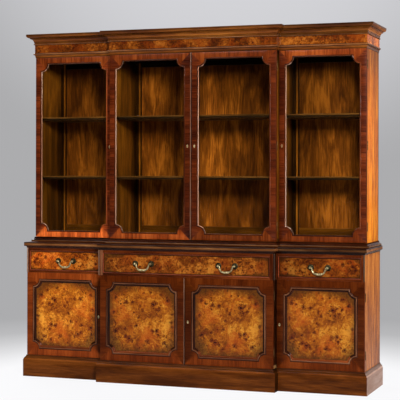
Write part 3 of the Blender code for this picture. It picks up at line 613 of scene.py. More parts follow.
# A pale pinkish finish for bead edges and reeds: painted highlight
PAINTED_BEAD_HIGHLIGHT = timber("painted_bead_highlight", (206, 140, 104), (228, 172, 138), (244, 204, 178), gloss=0.22)
RETURN_WOOD = timber("break_return", (30, 12, 4), (48, 20, 7), (70, 32, 12))
CORNICE_WOOD = timber("cornice_mahogany", (66, 29, 7), (98, 50, 12), (132, 76, 24), gloss=0.24)
SOLID = timber("solid_mahogany", (56, 20, 6), (88, 36, 12), (122, 58, 22), coat=0.04, sheen=0.02)
SIDE_BOARD = timber(
    "side_veneer", (176, 84, 8), (222, 118, 16), (250, 156, 38),
    figure=60, gloss=0.26, coat=0.06, contrast=1.7, sheen=0.03,
)
LOW_SIDE_BOARD = timber(
    "low_side_veneer", (124, 60, 12), (166, 88, 24), (206, 124, 48),
    figure=60, gloss=0.26, coat=0.14, contrast=1.7, sheen=0.05,
)
INNER_BOARD = timber(
    "inner_veneer", (70, 38, 6), (102, 56, 8), (140, 82, 16),
    figure=24, gloss=0.34, coat=0.08, sheen=0.03,
)
BACK_BOARD = timber(
    "back_veneer", (62, 29, 4), (104, 53, 9), (164, 92, 22),
    figure=15, gloss=0.34, wave=1.1, coat=0.08, sheen=0.03,
)
SHADED_EDGE = timber("shaded_edge", (18, 10, 3), (32, 18, 5), (48, 28, 9), gloss=0.40, coat=0.03, sheen=0.02)
SHELF_BOARD = timber(
    "shelf_veneer", (60, 36, 10), (88, 54, 18), (116, 74, 28),
    figure=24, coat=0.05, sheen=0.03,
)
PLINTH_BOARDING = timber(
    "plinth_mahogany", (66, 30, 8), (94, 46, 13), (124, 66, 22),
    gloss=0.30, coat=0.08, sheen=0.03,
)
# The plinth's right end pale and pinkish: painted reflection
PAINTED_END_REFLECTION = timber(
    "plinth_end_painted_reflection", (138, 104, 88), (157, 125, 110), (174, 146, 134),
    gloss=0.40, coat=0.05, sheen=0.03,
)
# The bays' top board near black: painted shade on its underside
TOP_PAINTED_SHADE = timber("inner_top_painted_shade", (4, 2, 1), (8, 4, 2), (12, 6, 3), X, 24.0, 0.45, coat=0.05)
FLOOR_BOARD = timber("inner_floor", (66, 36, 8), (96, 54, 12), (128, 76, 22), X, 24.0, 0.40, coat=0.08)
LINING = timber("oak_lining", (122, 84, 44), (156, 112, 64), (184, 140, 88), X, 40.0, 0.50, 0.2, 0.0)
HIDDEN_BOARD = timber("rough_board", (92, 60, 34), (124, 84, 50), (150, 108, 68), Z, 18.0, 0.60, 0.5, 0.0)
BRASS = metal("rubbed_brass", (226, 208, 158), (124, 108, 68), 0.34, 110.0)
# Darker brass for the handles' roses
DARK_BRASS = metal("dark_rose_brass", (64, 58, 38), (20, 20, 12), 0.34, 110.0)
HINGE_BRASS = metal("hinge_brass", (110, 84, 52), (60, 44, 26), 0.42, 120.0)
# Near-black keyhole fill: painted shade of the hole
KEYHOLE_PAINTED_SHADE = metal("keyhole_painted_shade", (26, 22, 18), (12, 10, 8), 0.55, 200.0)
GLASS = pane_glass()


def notched(half_x, half_z, notch, inward=0.0):
    """A rectangle whose corners are bitten by quarter rounds, drawn inwards, clockwise from the top right.

    The rounds keep their centres: radius = notch + inward, less the angle asin(past /
    radius) at each end once the outline has passed the small fillet beside the round.
    """
    radius = notch + inward
    start = math.asin(max(inward - NOTCH_FILLET, 0) / radius)
    turn = np.pi + start + (np.pi / 2 - 2 * start) * np.linspace(0, 1, NOTCH_STEPS + 1)
    centre = np.array((half_x, half_z)) - NOTCH_FILLET
    reach = radius * math.cos(start)
    first = np.concatenate(
        (
            [(centre[0] - reach, half_z - inward)],
            centre + radius * np.stack((np.cos(turn), np.sin(turn)), axis=1),
            [(half_x - inward, centre[1] - reach)],
        )
    )
    corners = [first, first[::-1] * (1, -1), first * (-1, -1), first[::-1] * (-1, 1)]
    return np.concatenate(corners)


def squared(line, low, high):
    """A rectangle with a point for each of a notched outline's, its corners taking the rounds."""
    per_corner = len(line) // 4
    corner, place = np.divmod(np.arange(len(line)), per_corner)
    end = (place == 0) | (place == per_corner - 1)
    level = end & ((place == 0) == (corner % 2 == 0))
    x = np.where(line[:, 0] > 0, high[0], low[0])
    z = np.where(line[:, 1] > 0, high[1], low[1])
    return np.stack((np.where(level, line[:, 0], x), np.where(end & ~level, line[:, 1], z)), axis=1)


def members(line):
    """The frame member beside each span of a notched outline: top, right, bottom, left as 0 to 3."""
    per_corner = len(line) // 4
    corner, place = np.divmod(np.arange(len(line)), per_corner)
    return (corner + (place > (per_corner - 3) // 2)) % 4


def corner_tones_and_light(stains, count):
    """The lightness at each point of a notched outline: partly tone, partly painted light and shade.

    Over a corner the one member's passes to the next's by share^2 (3 - 2 share).
    """
    per_corner = count // 4
    corner, place = np.divmod(np.arange(count), per_corner)
    share = place / (per_corner - 1)
    share = share * share * (3 - 2 * share)
    stains = np.array(stains)
    return stains[corner] * (1 - share) + stains[(corner + 1) % 4] * share


def ringed(rows, middle_x, middle_z):
    """Outlines at depths, as a grid of points: rows are (outline, y)."""
    return np.stack([xyz(middle_x + line[:, 0], y, middle_z + line[:, 1]) for line, y in rows])


def bead_section():
    """Half of an ellipse as wide as the bead, then a square drop to the glass: (inward, out)."""
    crown = arc((BEAD_WIDTH / 2, 0), (BEAD_WIDTH / 2, BEAD_PROUD), 1, 0, 17)
    return joined(crown, [(BEAD_WIDTH, -0.0004), (BEAD_WIDTH, -GLASS_SEAT)])


def bolection_section():
    """A quirk, an ogee up to the crest and a long scoop down to the panel: (inward, out)."""
    quirk = [(0, 0), (0, 0.0010), (0.0022, 0.0010)]
    rise = [(0.0024, 0.0011), (0.0040, 0.0023), (0.0056, 0.0042)]
    rise += [(0.0078, 0.0055), (0.0098, 0.0055), (0.0116, 0.0047)]
    scoop = [(0.0120, 0.0038), (0.0140, 0.0006), (0.0165, -0.0030), (0.0190, -0.0052), (0.0206, -0.0056)]
    foot = [(BOLECTION_WIDTH, -0.0058), (BOLECTION_WIDTH, -PANEL_SEAT)]
    return joined(quirk, eased(rise), eased(scoop), foot)


# How light each door's top, right, bottom and left veneers are, beside the usual: partly the veneers'
# own tone, partly painted light and shade
UPPER_TONE_AND_LIGHT = {
    "left": (0.95, 1.35, 4.2, 1.05),
    "centre_left": (0.85, 0.55, 1.9, 0.85),
    "centre_right": (0.92, 0.80, 0.78, 0.70),
    "right": (1.30, 0.9, 1.0, 0.72),
}
LOWER_TONE_AND_LIGHT = {
    "left": (1.4, 0.34, 1.6, 1.25),
    "centre_left": (0.55, 0.47, 1.05, 0.62),
    "centre_right": (0.57, 0.50, 0.90, 0.34),
    "right": (0.50, 0.38, 0.85, 0.40),
}

# The same for the painted line of highlight inside each glazed frame, and for the crown beside it,
# painted light and shade
PAINTED_LIGHT_LINES = {
    "left": (0.55, 0.3, 0.5, 1.1),
    "centre_left": (0.22, 0.3, 0.40, 1.15),
    "centre_right": (0.10, 0.3, 0.40, 1.5),
    "right": (0.35, 0.3, 0.25, 1.5),
}
CROWN_PAINTED_LIGHT = {
    "left": (1.0, 3.0, 1.0, 1.0),
    "centre_left": (1.0, 1.2, 1.0, 1.0),
    "centre_right": (1.0, 1.8, 1.0, 0.8),
    "right": (1.2, 1.8, 1.0, 0.8),
}

# And for the rise, the crest and the scoop of each panel's moulding, painted light and shade; the crest,
# in a pale finish as a painted highlight, is this far in
RISE_PAINTED_LIGHT = (0.8, 0.7, 0.9, 0.8)
CREST_PAINTED_LIGHT = (0.70, 0.85, 0.85, 0.95)
SCOOP_PAINTED_LIGHT = (0.7, 0.5, 2.4, 0.55)
CREST_HIGHLIGHT = (0.0050, 0.0110)
LIGHT_LINE = (BEAD_WIDTH * 0.93, BEAD_WIDTH * 1.1)

# And for the panels, partly tone and partly painted light; for the cock beads' four sides, painted light;
# and for each run of the mouldings round the plan, partly tone and partly painted light and shade, the
# plinth's right end taking a pale finish as a painted reflection
PANEL_TONE_AND_LIGHT = (1.22, 0.86, 0.80, 0.80)
COCKBEAD_PAINTED_LIGHT = np.array((0.6, 1.0, 1.9, 0.6))
NOSE_RUNS = np.array((1, 0.62, 1.2, 0.46, 0.7, 0.22, 0.9, 1))
CORNICE_RUNS = np.array((1, 1.05, 1, 1.0, 0.8, 0.62, 1.5, 1))
FRIEZE_TONE_AND_LIGHT = np.array((1, 0.66, 0.6, 0.68, 0.6, 0.80, 2.2, 1))
PLINTH_RUNS = np.array((1, 1, 1, 0.95, 0.2, 0.97, 1, 1))
PLINTH_FINISHES = np.array((0, 0, 0, 0, 0, 0, 1, 0))

# Outlines: the corners of a rectangle, a key plate's dome, and a handle's post, rose and bail
SQUARE = np.array(((1, 1), (1, -1), (-1, -1), (-1, 1)))
PLATE_LINE = ((1, 0), (1, 0.35), (0.95, 0.75), (0.86, 1), (0.78, 0.85), (0.70, 0.62), (0.35, 0.70), (0, 0.72))
POST_LINE = (
    (0.0, 1.0), (0.22, 0.98), (0.41, 0.88), (0.49, 0.71),
    (0.44, 0.56), (0.31, 0.45), (0.27, 0.36), (0.31, 0.26),
)
ROSE_LINE = (
    (0.52, 0.20), (0.63, 0.155), (0.80, 0.125), (0.93, 0.085),
    (1.0, 0.03), (1.0, 0.0), (0.0, 0.0),
)
BAIL_LINE = (
    (1.06, 0, 0.7), (0.88, 0, 0.8), (0.84, 0.02, 1), (0.80, 0.12, 1.1), (0.76, 0.34, 1.3),
    (0.69, 0.60, 1.45), (0.56, 0.82, 1.6), (0.38, 0.94, 1.7), (0.20, 0.985, 2.0), (0, 1, 2.1),
)

# What the two kinds of door differ in, and the numbers of a door's finishes; the last is a pale finish
# along one span of the moulding, a painted highlight
Joinery = namedtuple("Joinery", "margin notch section worn seat rebate hinges key_z stains finishes")
STILE_FACE, MOULDED, EDGE, RAIL_FACE, PAINTED_HIGHLIGHT = range(5)
GLAZED = Joinery(
    UPPER_MARGIN, UPPER_NOTCH, bead_section(), LIGHT_LINE, GLASS_SEAT, GLASS_REBATE,
    3, UPPER_KEY_Z, UPPER_TONE_AND_LIGHT, (STILE_BAND, RAIL_BAND, PAINTED_BEAD_HIGHLIGHT),
)
PANELLED = Joinery(
    LOWER_MARGIN, LOWER_NOTCH, bolection_section(), CREST_HIGHLIGHT, PANEL_SEAT, PANEL_REBATE,
    2, LOWER_KEY_Z, LOWER_TONE_AND_LIGHT, (LOW_BAND, LOW_BAND, PAINTED_EDGE_HIGHLIGHT),
)


def moulding_looks(joinery, side, member):
    """Finish and lightness of each span of a door's moulding, which has a painted highlight in a pale finish
    along one stretch of its section.
    """
    inward = joinery.section[:-1, :1]
    low, high = joinery.worn
    worn = (inward >= low) & (inward < high)
    tables = RISE_PAINTED_LIGHT, CREST_PAINTED_LIGHT, SCOOP_PAINTED_LIGHT
    if joinery is GLAZED:
        tables = CROWN_PAINTED_LIGHT[side], PAINTED_LIGHT_LINES[side], CROWN_PAINTED_LIGHT[side]
    before, at, after = np.array(tables)[:, member]
    beside = np.where(inward < low, before, after)
    return {"finish": np.where(worn, PAINTED_HIGHLIGHT, MOULDED), "stain": np.where(worn, at, beside)}


def build_door(name, side, joinery, bead=0.0):
    """A crossbanded frame, its moulding and its edges, in place of the plain door.

    Every row of points is the sight line, drawn inwards or squared off to the board, at one depth.
    """
    hinge = HINGES[f"{name}_hinge"]
    low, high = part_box(name)
    sign = 1 if side.endswith("left") else -1
    free_x = high.x if sign > 0 else low.x
    face = hinge[1] - SEAT_GAP - DOOR_THICKNESS
    back = face + DOOR_THICKNESS
    middle = (hinge[0] + free_x - sign * bead) / 2, (low.z + high.z) / 2
    half_x = abs(middle[0] - hinge[0]) - joinery.margin
    half_z = (high.z - low.z) / 2 - joinery.margin
    line = notched(half_x, half_z, joinery.notch)
    x_low, x_high = sorted((hinge[0] - middle[0], free_x - middle[0]))
    corner = np.array((x_low, low.z - middle[1])), np.array((x_high, high.z - middle[1]))
    member = members(line)
    rail = member % 2 == 0
    across, lengthwise = np.where(rail, Z, X), np.where(rail, X, Z)
    seed = len(name) + 5 * member + round(hinge[0] * 7)
    shell = Shell()
    edge = squared(line, corner[0] + ARRIS, corner[1] - ARRIS)
    shell.grid(
        ringed([(edge, face), (line, face)], *middle), wrap_columns=True, along=across, seed=seed,
        finish=np.where(rail, RAIL_FACE, STILE_FACE),
        point_tone_and_light=corner_tones_and_light(joinery.stains[side], len(line)),
    )
    rows = [(notched(half_x, half_z, joinery.notch, inward), face - out) for inward, out in joinery.section]
    looks = moulding_looks(joinery, side, member)
    shell.grid(ringed(rows, *middle), wrap_columns=True, along=lengthwise, seed=seed, **looks)
    rebate = np.array((half_x, half_z)) - joinery.section[-1][0] + joinery.rebate
    rebate = squared(line, -rebate, rebate)
    board = squared(line, *corner)
    soft = squared(line, corner[0] + ARRIS * 0.3, corner[1] - ARRIS * 0.3)
    seat = face + joinery.seat
    rows = [rows[-1], (rebate, seat), (rebate, back), (board, back), (board, face + ARRIS)]
    rows += [(soft, face + ARRIS * 0.3), (edge, face)]
    shell.grid(ringed(rows, *middle), wrap_columns=True, along=lengthwise, finish=EDGE, seed=seed)
    stile, rail, worn = joinery.finishes
    shell.piece(f"{name}_frame", name, (stile, MOULDING, SOLID, rail, worn), (name,), "mahogany")
    if bead:
        build_meeting_bead(name, free_x - sign * bead / 2, face, low.z, high.z)
    build_hinges(name, hinge, low.z, high.z - low.z, joinery.hinges)
    if side != "centre_left" or joinery is GLAZED:
        inset = BREAK_KEY_INSET if name == "lower_door_left" else KEY_INSET + bead
        build_escutcheon(name, free_x - sign * inset, face, joinery.key_z)


def build_meeting_bead(name, x, face, z_low, z_high):
    """A half-round bead on the free edge, with a painted highlight along its left half."""
    painted_lit = (np.linspace(0, 1, 17)[:-1] > 0.5)[None]
    shell = Shell()
    ends = z_low + SLEEVE, z_high - SLEEVE
    looks = {"seed": 3, "finish": np.where(painted_lit, 1, 0), "stain": np.where(painted_lit, 0.6, 0.7)}
    half_round(shell, (x, face), MEETING_BEAD / 2 - SLEEVE, ends, 17, **looks)
    shell.piece(f"{name}_meeting_bead", name, (MOULDING, PAINTED_BEAD_HIGHLIGHT), slot="mahogany_dark")


def build_hinges(name, hinge, foot, height, count):
    """Brass knuckles in threes, the middle one on the door, with a button tip at each end."""
    third = (HINGE_LENGTH - 2 * KNUCKLE_GAP) / 3
    radius = KNUCKLE_RADIUS + SLEEVE
    soft = radius * 0.12
    own, fixed = Shell(), Shell()
    x, y, _ = hinge
    end_line = [(0, 0), (radius - soft, 0), (radius, soft)]
    profile = end_line + [(out, third - up) for out, up in reversed(end_line)]
    for low in np.linspace(foot + HINGE_INSET, foot + height - HINGE_INSET - HINGE_LENGTH, count):
        for part in range(3):
            start = low + part * (third + KNUCKLE_GAP)
            turned(own if part == 1 else fixed, profile, np.array((x, y, start)), Z)
        for end, way in ((low, -1), (low + HINGE_LENGTH, 1)):
            tip = arc((0, 0), (radius * 0.7, way * radius * 0.5), 0, 0.5, 5)
            turned(fixed, tip, np.array((x, y, end)), Z)
    own.piece(f"{name}_knuckles", name, (HINGE_BRASS,), slot="brass")
    fixed.piece(f"{name}_case_knuckles", "case", (HINGE_BRASS,), slot="brass")


def build_escutcheon(name, x, face, z):
    """An oval brass plate, domed to a thin rim, with its keyhole.

    The plate is a profile of (share of the half width, share of the dome) carried round an
    ellipse. The keyhole is most of a circle over a slot that widens downwards.
    """
    turn = np.linspace(0, 2 * np.pi, ROUND_STEPS, endpoint=False)
    share, out = np.array(PLATE_LINE).T[:, :, None]
    points = xyz(
        x + ESCUTCHEON_HALF[0] * share * np.cos(turn),
        face - ESCUTCHEON_PROUD * out,
        z + ESCUTCHEON_HALF[1] * share * np.sin(turn),
    )
    shell = Shell()
    shell.grid(points, wrap_columns=True)
    shell.piece(f"{name}_escutcheon", name, (BRASS,), slot="brass")
    # A dark sheet fills the keyhole's shape: painted shade of the hole
    hole = joined(arc((0, 1), 1, -0.28, 1.28, 15), [(-1.05, -2.4), (1.05, -2.4)]) * KEYHOLE_RADIUS
    points = xyz(x + hole[:, 0], face - ESCUTCHEON_PROUD * 0.80, z + hole[:, 1])
    shell = Shell()
    shell.grid(np.stack((points, points + (0, ESCUTCHEON_PROUD * 0.6, 0))), wrap_columns=True)
    shell.add(points, np.arange(len(hole))[None])
    shell.piece(f"{name}_keyhole", name, (KEYHOLE_PAINTED_SHADE,), slot="brass")


def build_panel(side, number):
    """The burr panel of a lower door; the four are consecutive leaves of one burr, the left one turned over.

    Its grain is metres from its middle, and a leaf's thickness deeper from panel to panel.
    """
    node = f"lower_panel_{side}"
    low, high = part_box(node)
    flip = -1 if side == "left" else 1
    x, z = np.meshgrid((low.x, high.x), (low.z, high.z), indexing="ij")
    grain = xyz(flip * (x - (low.x + high.x) / 2), z - (low.z + high.z) / 2, LEAF * number)
    shell = Shell()
    for y, finish in ((low.y, 0), (high.y, 1)):
        shell.grid(xyz(x, y, z), grain=grain, finish=finish, stain=PANEL_TONE_AND_LIGHT[number])
    rim = np.array(((low.x, high.x, high.x, low.x), (low.z, low.z, high.z, high.z)))
    shell.grid(xyz(rim[0], np.array(((low.y,), (high.y,))), rim[1]), wrap_columns=True, finish=1)
    shell.piece(f"{node}_burr", f"lower_door_{side}", (PANEL_BURL, LINING), (node,), "burl")


def build_drawer_front(side, burr, flip, stain):
    """A burr front inside a raised cock bead, with its solid edges.

    The bead is a half round carried round the front, its sides lighter and darker as painted light,
    with a dark strip inside it as painted shadow. The grain is metres from the middle, mirrored where
    flip is -1, and the last argument is how light the left and right ends are.
    """
    node = f"drawer_front_{side}"
    low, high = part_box(node)
    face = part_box(f"drawer_box_{side}")[0].y - SEAT_GAP - DRAWER_FRONT_THICKNESS
    middle = (low.x + high.x) / 2, (low.z + high.z) / 2
    half = np.array((high.x - low.x, high.z - low.z)) / 2
    crown = COCKBEAD_WIDTH / 2
    crown = arc((crown, COCKBEAD_FOOT), (crown, COCKBEAD_PROUD - COCKBEAD_FOOT), 1, 0, 9)
    section = joined([(0, -DRAWER_FRONT_THICKNESS), (0, COCKBEAD_FOOT)], crown, [(COCKBEAD_WIDTH, 0)])
    round_it = {"wrap_columns": True, "along": (Z, X, Z, X)}
    shell = Shell()
    # The bead's sides lighter and darker by painted light, lightest on the left
    rows = [(SQUARE * (half - inward), face - out) for inward, out in section]
    shell.grid(ringed(rows, *middle), finish=1, stain=COCKBEAD_PAINTED_LIGHT, **round_it)
    # A dark strip inside the bead, in the shaded finish: painted shadow of the bead
    inner = half - COCKBEAD_WIDTH
    rows = [(SQUARE * inner, face), (SQUARE * (inner - BEAD_SHADOW_WIDTH), face)]
    shell.grid(ringed(rows, *middle), finish=3, **round_it)
    inner = inner - BEAD_SHADOW_WIDTH
    x, z = np.meshgrid((-inner[0], inner[0]), (-inner[1], inner[1]), indexing="ij")
    points = xyz(middle[0] + x, face, middle[1] + z)
    shell.grid(points, grain=xyz(flip * x, z, 0), point_tone_and_light=np.array(stain)[:, None])
    x, z = np.meshgrid((-half[0], half[0]), (-half[1], half[1]), indexing="ij")
    shell.grid(xyz(middle[0] + x, face + DRAWER_FRONT_THICKNESS, middle[1] + z), along=X, finish=2)
    shell.piece(f"{node}_burr", f"drawer_{side}", (burr, COCKBEAD_WOOD, LINING, SHADED_EDGE), (node,), "burl")


def build_handle(name, drawer):
    """Two turned posts on roses, and a swan-neck bail hung between their knobs.

    The bail is a tube round an eased path: path + radius (cos t across the path, sin t outwards).
    """
    x, y, z = HINGES[f"{name}_swing"]
    shell = Shell()
    knob, rose = eased(POST_LINE, 4), joined(eased(ROSE_LINE[:5], 3), ROSE_LINE[5:])
    neck = joined(knob[-1:] * (KNOB_SHARE, 1), rose)
    for side in (-1, 1):
        centre = np.array((x + side * POST_SPACING / 2, y + KNOB_REACH, z))
        turned(shell, knob * (ROSE_RADIUS * KNOB_SHARE, -POST_LENGTH), centre, Y)
        turned(shell, neck * (ROSE_RADIUS, -POST_LENGTH), centre, Y, finish=1)
    shell.piece(f"{name}_posts", drawer, (BRASS, DARK_BRASS), slot="brass")
    half = np.array(BAIL_LINE) * (POST_SPACING / 2, -BAIL_DROP, BAIL_RADIUS)
    path = eased(np.concatenate((half, half[-2::-1] * (-1, 1, 1))), 5)
    step = np.gradient(path[:, :2], axis=0)
    step /= np.linalg.norm(step, axis=1, keepdims=True)
    middle, step = (np.concatenate((line[:1], line, line[-1:])) for line in (path[:, :2], step))
    radius = np.concatenate(([0], path[:, 2], [0]))[:, None]
    turn = np.linspace(0, 2 * np.pi, 18, endpoint=False)
    across = radius * np.cos(turn)
    points = xyz(
        x + middle[:, :1] - step[:, 1:] * across,
        y + radius * np.sin(turn),
        z + middle[:, 1:] + step[:, :1] * across,
    )
    shell = Shell()
    shell.grid(points, wrap_columns=True)
    shell.piece(f"{name}_wire", name, (BRASS,), (name,), "brass")


def plan(case, offset):
    """The eight corners of a case's plan, drawn outwards by an offset, from the left back."""
    half, centre = case.half + offset, case.centre_half + offset
    rear = case.back + min(offset, 0)
    wing, front = case.wing_y - offset, case.centre_y - offset
    left = np.array(((-half, rear), (-half, wing), (-centre, wing), (-centre, front)))
    return np.concatenate((left, left[::-1] * (-1, 1)))


# Which way each run of a plan goes, and the four-sided parts that close it
PLAN_RUNS = np.array((Y, X, Y, X, Y, X, Y, X))
PLAN_LID = np.array(((0, 1, 2, 7), (2, 5, 6, 7), (2, 3, 4, 5)))


def banded(section, low, tall, bands, closed=True):
    """The finish and lightness of each span of a profile, from bands of (top share, finish, lightness)."""
    middle = ((section + np.roll(section, -1, axis=0))[:, 1] / 2 - low) / tall
    row = np.searchsorted([top for top, _, _ in bands], middle.clip(0, 0.999))
    finish, stain = np.array([band[1:] for band in bands])[row if closed else row[:-1]].T
    return {"finish": finish.astype(int)[:, None], "stain": stain[:, None]}


def ringed_plan(case, section):
    """A profile of (offset, height) points carried round a case's plan, mitred at each corner."""
    return np.stack([xyz(*plan(case, out).T, z) for out, z in section])


def between(points, projection, foot, height):
    """A stretch of profile given as shares of a moulding's projection and height, in metres."""
    return np.asarray(points, float) * (projection, height) + (0, foot)


def moulded(name, node, case, outer, projection, board, bands, finishes, closed=True, lightness=1.0, other=0):
    """Runs a profile, and the board behind it, round the plan of a case.

    Where closed is false the last run is left out: it is open behind, with capped ends.
    lightness is how light each run is, beside the usual, partly its own tone and partly painted light and
    shade; other is added to its finish number.
    """
    low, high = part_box(node)
    outer = between(outer, projection, low.z, high.z - low.z)
    section = joined(outer, [(-board, high.z), (-board, low.z)])
    rings = ringed_plan(case, section)
    shell = Shell()
    runs = PLAN_RUNS if closed else PLAN_RUNS[:-1]
    looks = banded(section, low.z, high.z - low.z, bands)
    looks["stain"] = looks["stain"] * lightness
    looks["finish"] = looks["finish"] + other
    shell.grid(rings, wrap_rows=True, wrap_columns=closed, along=runs, seed=np.arange(len(runs)), **looks)
    if not closed:
        for end in (0, -1):
            shell.add(rings[:, end], np.arange(len(rings))[None], along=Y)
    return shell.piece(name, "case", finishes, (node,), "mahogany_dark")


def build_plinth():
    """A flat skirting under a moulded cap."""
    flat = [(1, 0), (1, 0.795), (0.985, 0.805), (0.91, 0.805)]
    cap = eased([(0.90, 0.805), (0.84, 0.85), (0.62, 0.895), (0.40, 0.93), (0.30, 0.96)])
    # Bands up the cap lighter and darker as painted highlight and painted shade
    moulded(
        "plinth_skirting", "plinth", LOWER, joined(flat, cap, [(0.22, 0.965), (0.22, 1)]),
        PLINTH_PROJECTION, PLINTH_BOARD,
        ((0.795, 0, 1.0), (0.86, 0, 1.5), (0.94, 0, 0.7), (1, 0, 0.6)),
        (PLINTH_BOARDING, PAINTED_END_REFLECTION), lightness=PLINTH_RUNS, other=PLINTH_FINISHES,
    )


def build_base_top():
    """The slab over the drawers: its nose runs round the plan, and two lids close it."""
    low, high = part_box("base_top")
    tall = high.z - low.z
    cove = eased([(0.13, 0), (0.18, 0.12), (0.36, 0.24), (0.66, 0.30)])
    nose = eased([(0.93, 0.33), (1, 0.42), (1.0, 0.62), (1.0, 0.84), (0.94, 0.96), (0.86, 1)])
    section = between(joined(cove, [(0.88, 0.305), (0.88, 0.33)], nose), NOSE_PROJECTION, low.z, tall)
    rings = ringed_plan(LOWER, section)
    # The nose's rounds in the pale finish and lighter bands as painted highlight, its hollows darker as
    # painted shade
    bands = ((0.31, 0, 0.75), (0.40, 0, 1.0), (0.52, 1, 0.5), (0.78, 1, 1.1), (0.86, 1, 0.4), (1, 0, 0.6))
    looks = banded(section, low.z, tall, bands, closed=False)
    looks["stain"] = looks["stain"] * NOSE_RUNS
    shell = Shell()
    shell.grid(rings, wrap_columns=True, along=PLAN_RUNS, **looks)
    for ring in (rings[0], rings[-1]):
        shell.add(ring, PLAN_LID, along=X, finish=2)
    shell.piece("base_top_slab", "case", (MOULDING, PAINTED_NOSE_HIGHLIGHT, DULL_TOP), ("base_top",), "mahogany_dark")


def build_waist():
    """A round foot and an ogee over it."""
    foot = eased([(0.93, 0), (1, 0.10), (1, 0.30), (0.93, 0.41)])
    ogee = eased([(0.80, 0.43), (0.52, 0.52), (0.33, 0.66), (0.22, 0.79)])
    # The foot's round in the pale finish as painted highlight; the other bands darker as painted shade
    moulded(
        "waist_ogee", "waist_moulding", UPPER, joined(foot, [(0.82, 0.42)], ogee, [(0.30, 0.80), (0.30, 1)]),
        WAIST_PROJECTION, -SEAT_GAP,
        ((0.10, 0, 0.6), (0.34, 1, 0.35), (0.44, 0, 0.5), (0.80, 0, 0.55), (1, 2, 0.45)),
        (MOULDING, PAINTED_NOSE_HIGHLIGHT, DULL_TOP), closed=False,
    )


def build_frieze():
    """A burr-veneered board over a half-round astragal with a cove under it."""
    low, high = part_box("frieze")
    tall = high.z - low.z
    astragal = arc((0.84, 0.292), (0.16, 0.057), -0.5, 0.5, 13)
    cove = eased([(0.17, 0), (0.22, 0.10), (0.36, 0.18), (0.60, 0.215)])
    fillet = [(0.66, 0.358), (0.50, 0.365), (0.38, 0.385)]
    outer = between(joined(cove, [(0.70, 0.235)], astragal, fillet), FRIEZE_PROJECTION, low.z, tall)
    board = between(((0.38, 0.385), (0.38, 1)), FRIEZE_PROJECTION, low.z, tall)
    rings, board = ringed_plan(UPPER, outer), ringed_plan(UPPER, board)
    inner = ringed_plan(UPPER, [(-FRIEZE_BOARD, high.z), (-FRIEZE_BOARD, low.z)])
    # The astragal in the pale finish as painted highlight; the other bands lighter and darker as painted
    # light and shade
    bands = ((0.05, 1, 0.6), (0.22, 1, 1.25), (0.25, 1, 0.6), (0.33, 3, 0.75), (0.36, 1, 0.6), (1, 1, 0.4))
    looks = banded(outer, low.z, tall, bands, closed=False)
    shell = Shell()
    shell.grid(rings, wrap_columns=True, along=PLAN_RUNS, **looks)
    shell.grid(board, wrap_columns=True, along=PLAN_RUNS, stain=FRIEZE_TONE_AND_LIGHT)
    shell.grid(np.concatenate((board[-1:], inner, rings[:1])), wrap_columns=True, along=PLAN_RUNS, finish=2)
    finishes = (FRIEZE_BURL, CORNICE_WOOD, HIDDEN_BOARD, PAINTED_NOSE_HIGHLIGHT)
    shell.piece("frieze_burr", "case", finishes, ("frieze",), "burl")


def build_cornice():
    """A small roll, a flat, a deep cove and a crown under a fillet."""
    roll = arc((0.200, 0.052), 0.040, -0.5, 0.5, 9)
    cove = eased([(0.215, 0.275), (0.228, 0.344), (0.293, 0.438), (0.402, 0.520), (0.580, 0.572)])
    crown = eased([(0.660, 0.655), (0.783, 0.672), (0.902, 0.724), (0.967, 0.790), (0.99, 0.836)])
    outer = joined(
        [(0.163, 0), (0.180, 0.008)], roll, [(0.167, 0.097), (0.167, 0.262), (0.200, 0.262)],
        cove, [(0.609, 0.580), (0.609, 0.644), (0.640, 0.644)], crown, [(1, 0.845), (1, 0.99), (0.99, 1)],
    )
    # The roll in the pale finish as painted highlight; the other bands lighter and darker as painted light
    # and shade
    bands = (
        (0.02, 0, 0.4), (0.09, 1, 0.6), (0.12, 0, 0.4), (0.262, 0, 0.75), (0.30, 0, 0.5), (0.57, 0, 1.5),
        (0.645, 0, 0.8), (0.67, 0, 0.5), (0.83, 0, 1.15), (0.90, 0, 0.8), (0.97, 0, 0.6), (1, 2, 0.6),
    )
    moulded(
        "cornice_crown", "cornice", UPPER, outer, CORNICE_PROJECTION, CORNICE_BOARD, bands,
        (CORNICE_WOOD, PAINTED_NOSE_HIGHLIGHT, DULL_TOP), lightness=CORNICE_RUNS,
    )


def build_reed(node, sign, stain):
    """A half-round reed up the outer front edge of an upright, beside the drawers, in a pale finish that is a
    painted highlight.
    """
    low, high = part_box(node)
    rail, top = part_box("drawer_rail_left")[0].z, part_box("base_top")[0].z
    x = (low.x if sign < 0 else high.x) - sign * (REED_RADIUS + ARRIS)
    shell = Shell()
    points = half_round(shell, (x, low.y + ARRIS), REED_RADIUS, (rail + ARRIS, top - ARRIS), 13, stain=stain)
    shell.add(points[:, (0, -1)].reshape(-1, 3), np.array([(0, 1, 3, 2)]), along=Z)
    shell.piece(f"{node}_reed", "case", (PAINTED_BEAD_HIGHLIGHT,), slot="mahogany")


def soften_edges(made):
    soften = made.modifiers.new("soft_edges", "BEVEL")
    soften.width = ARRIS
    soften.segments = 2
    soften.harden_normals = True


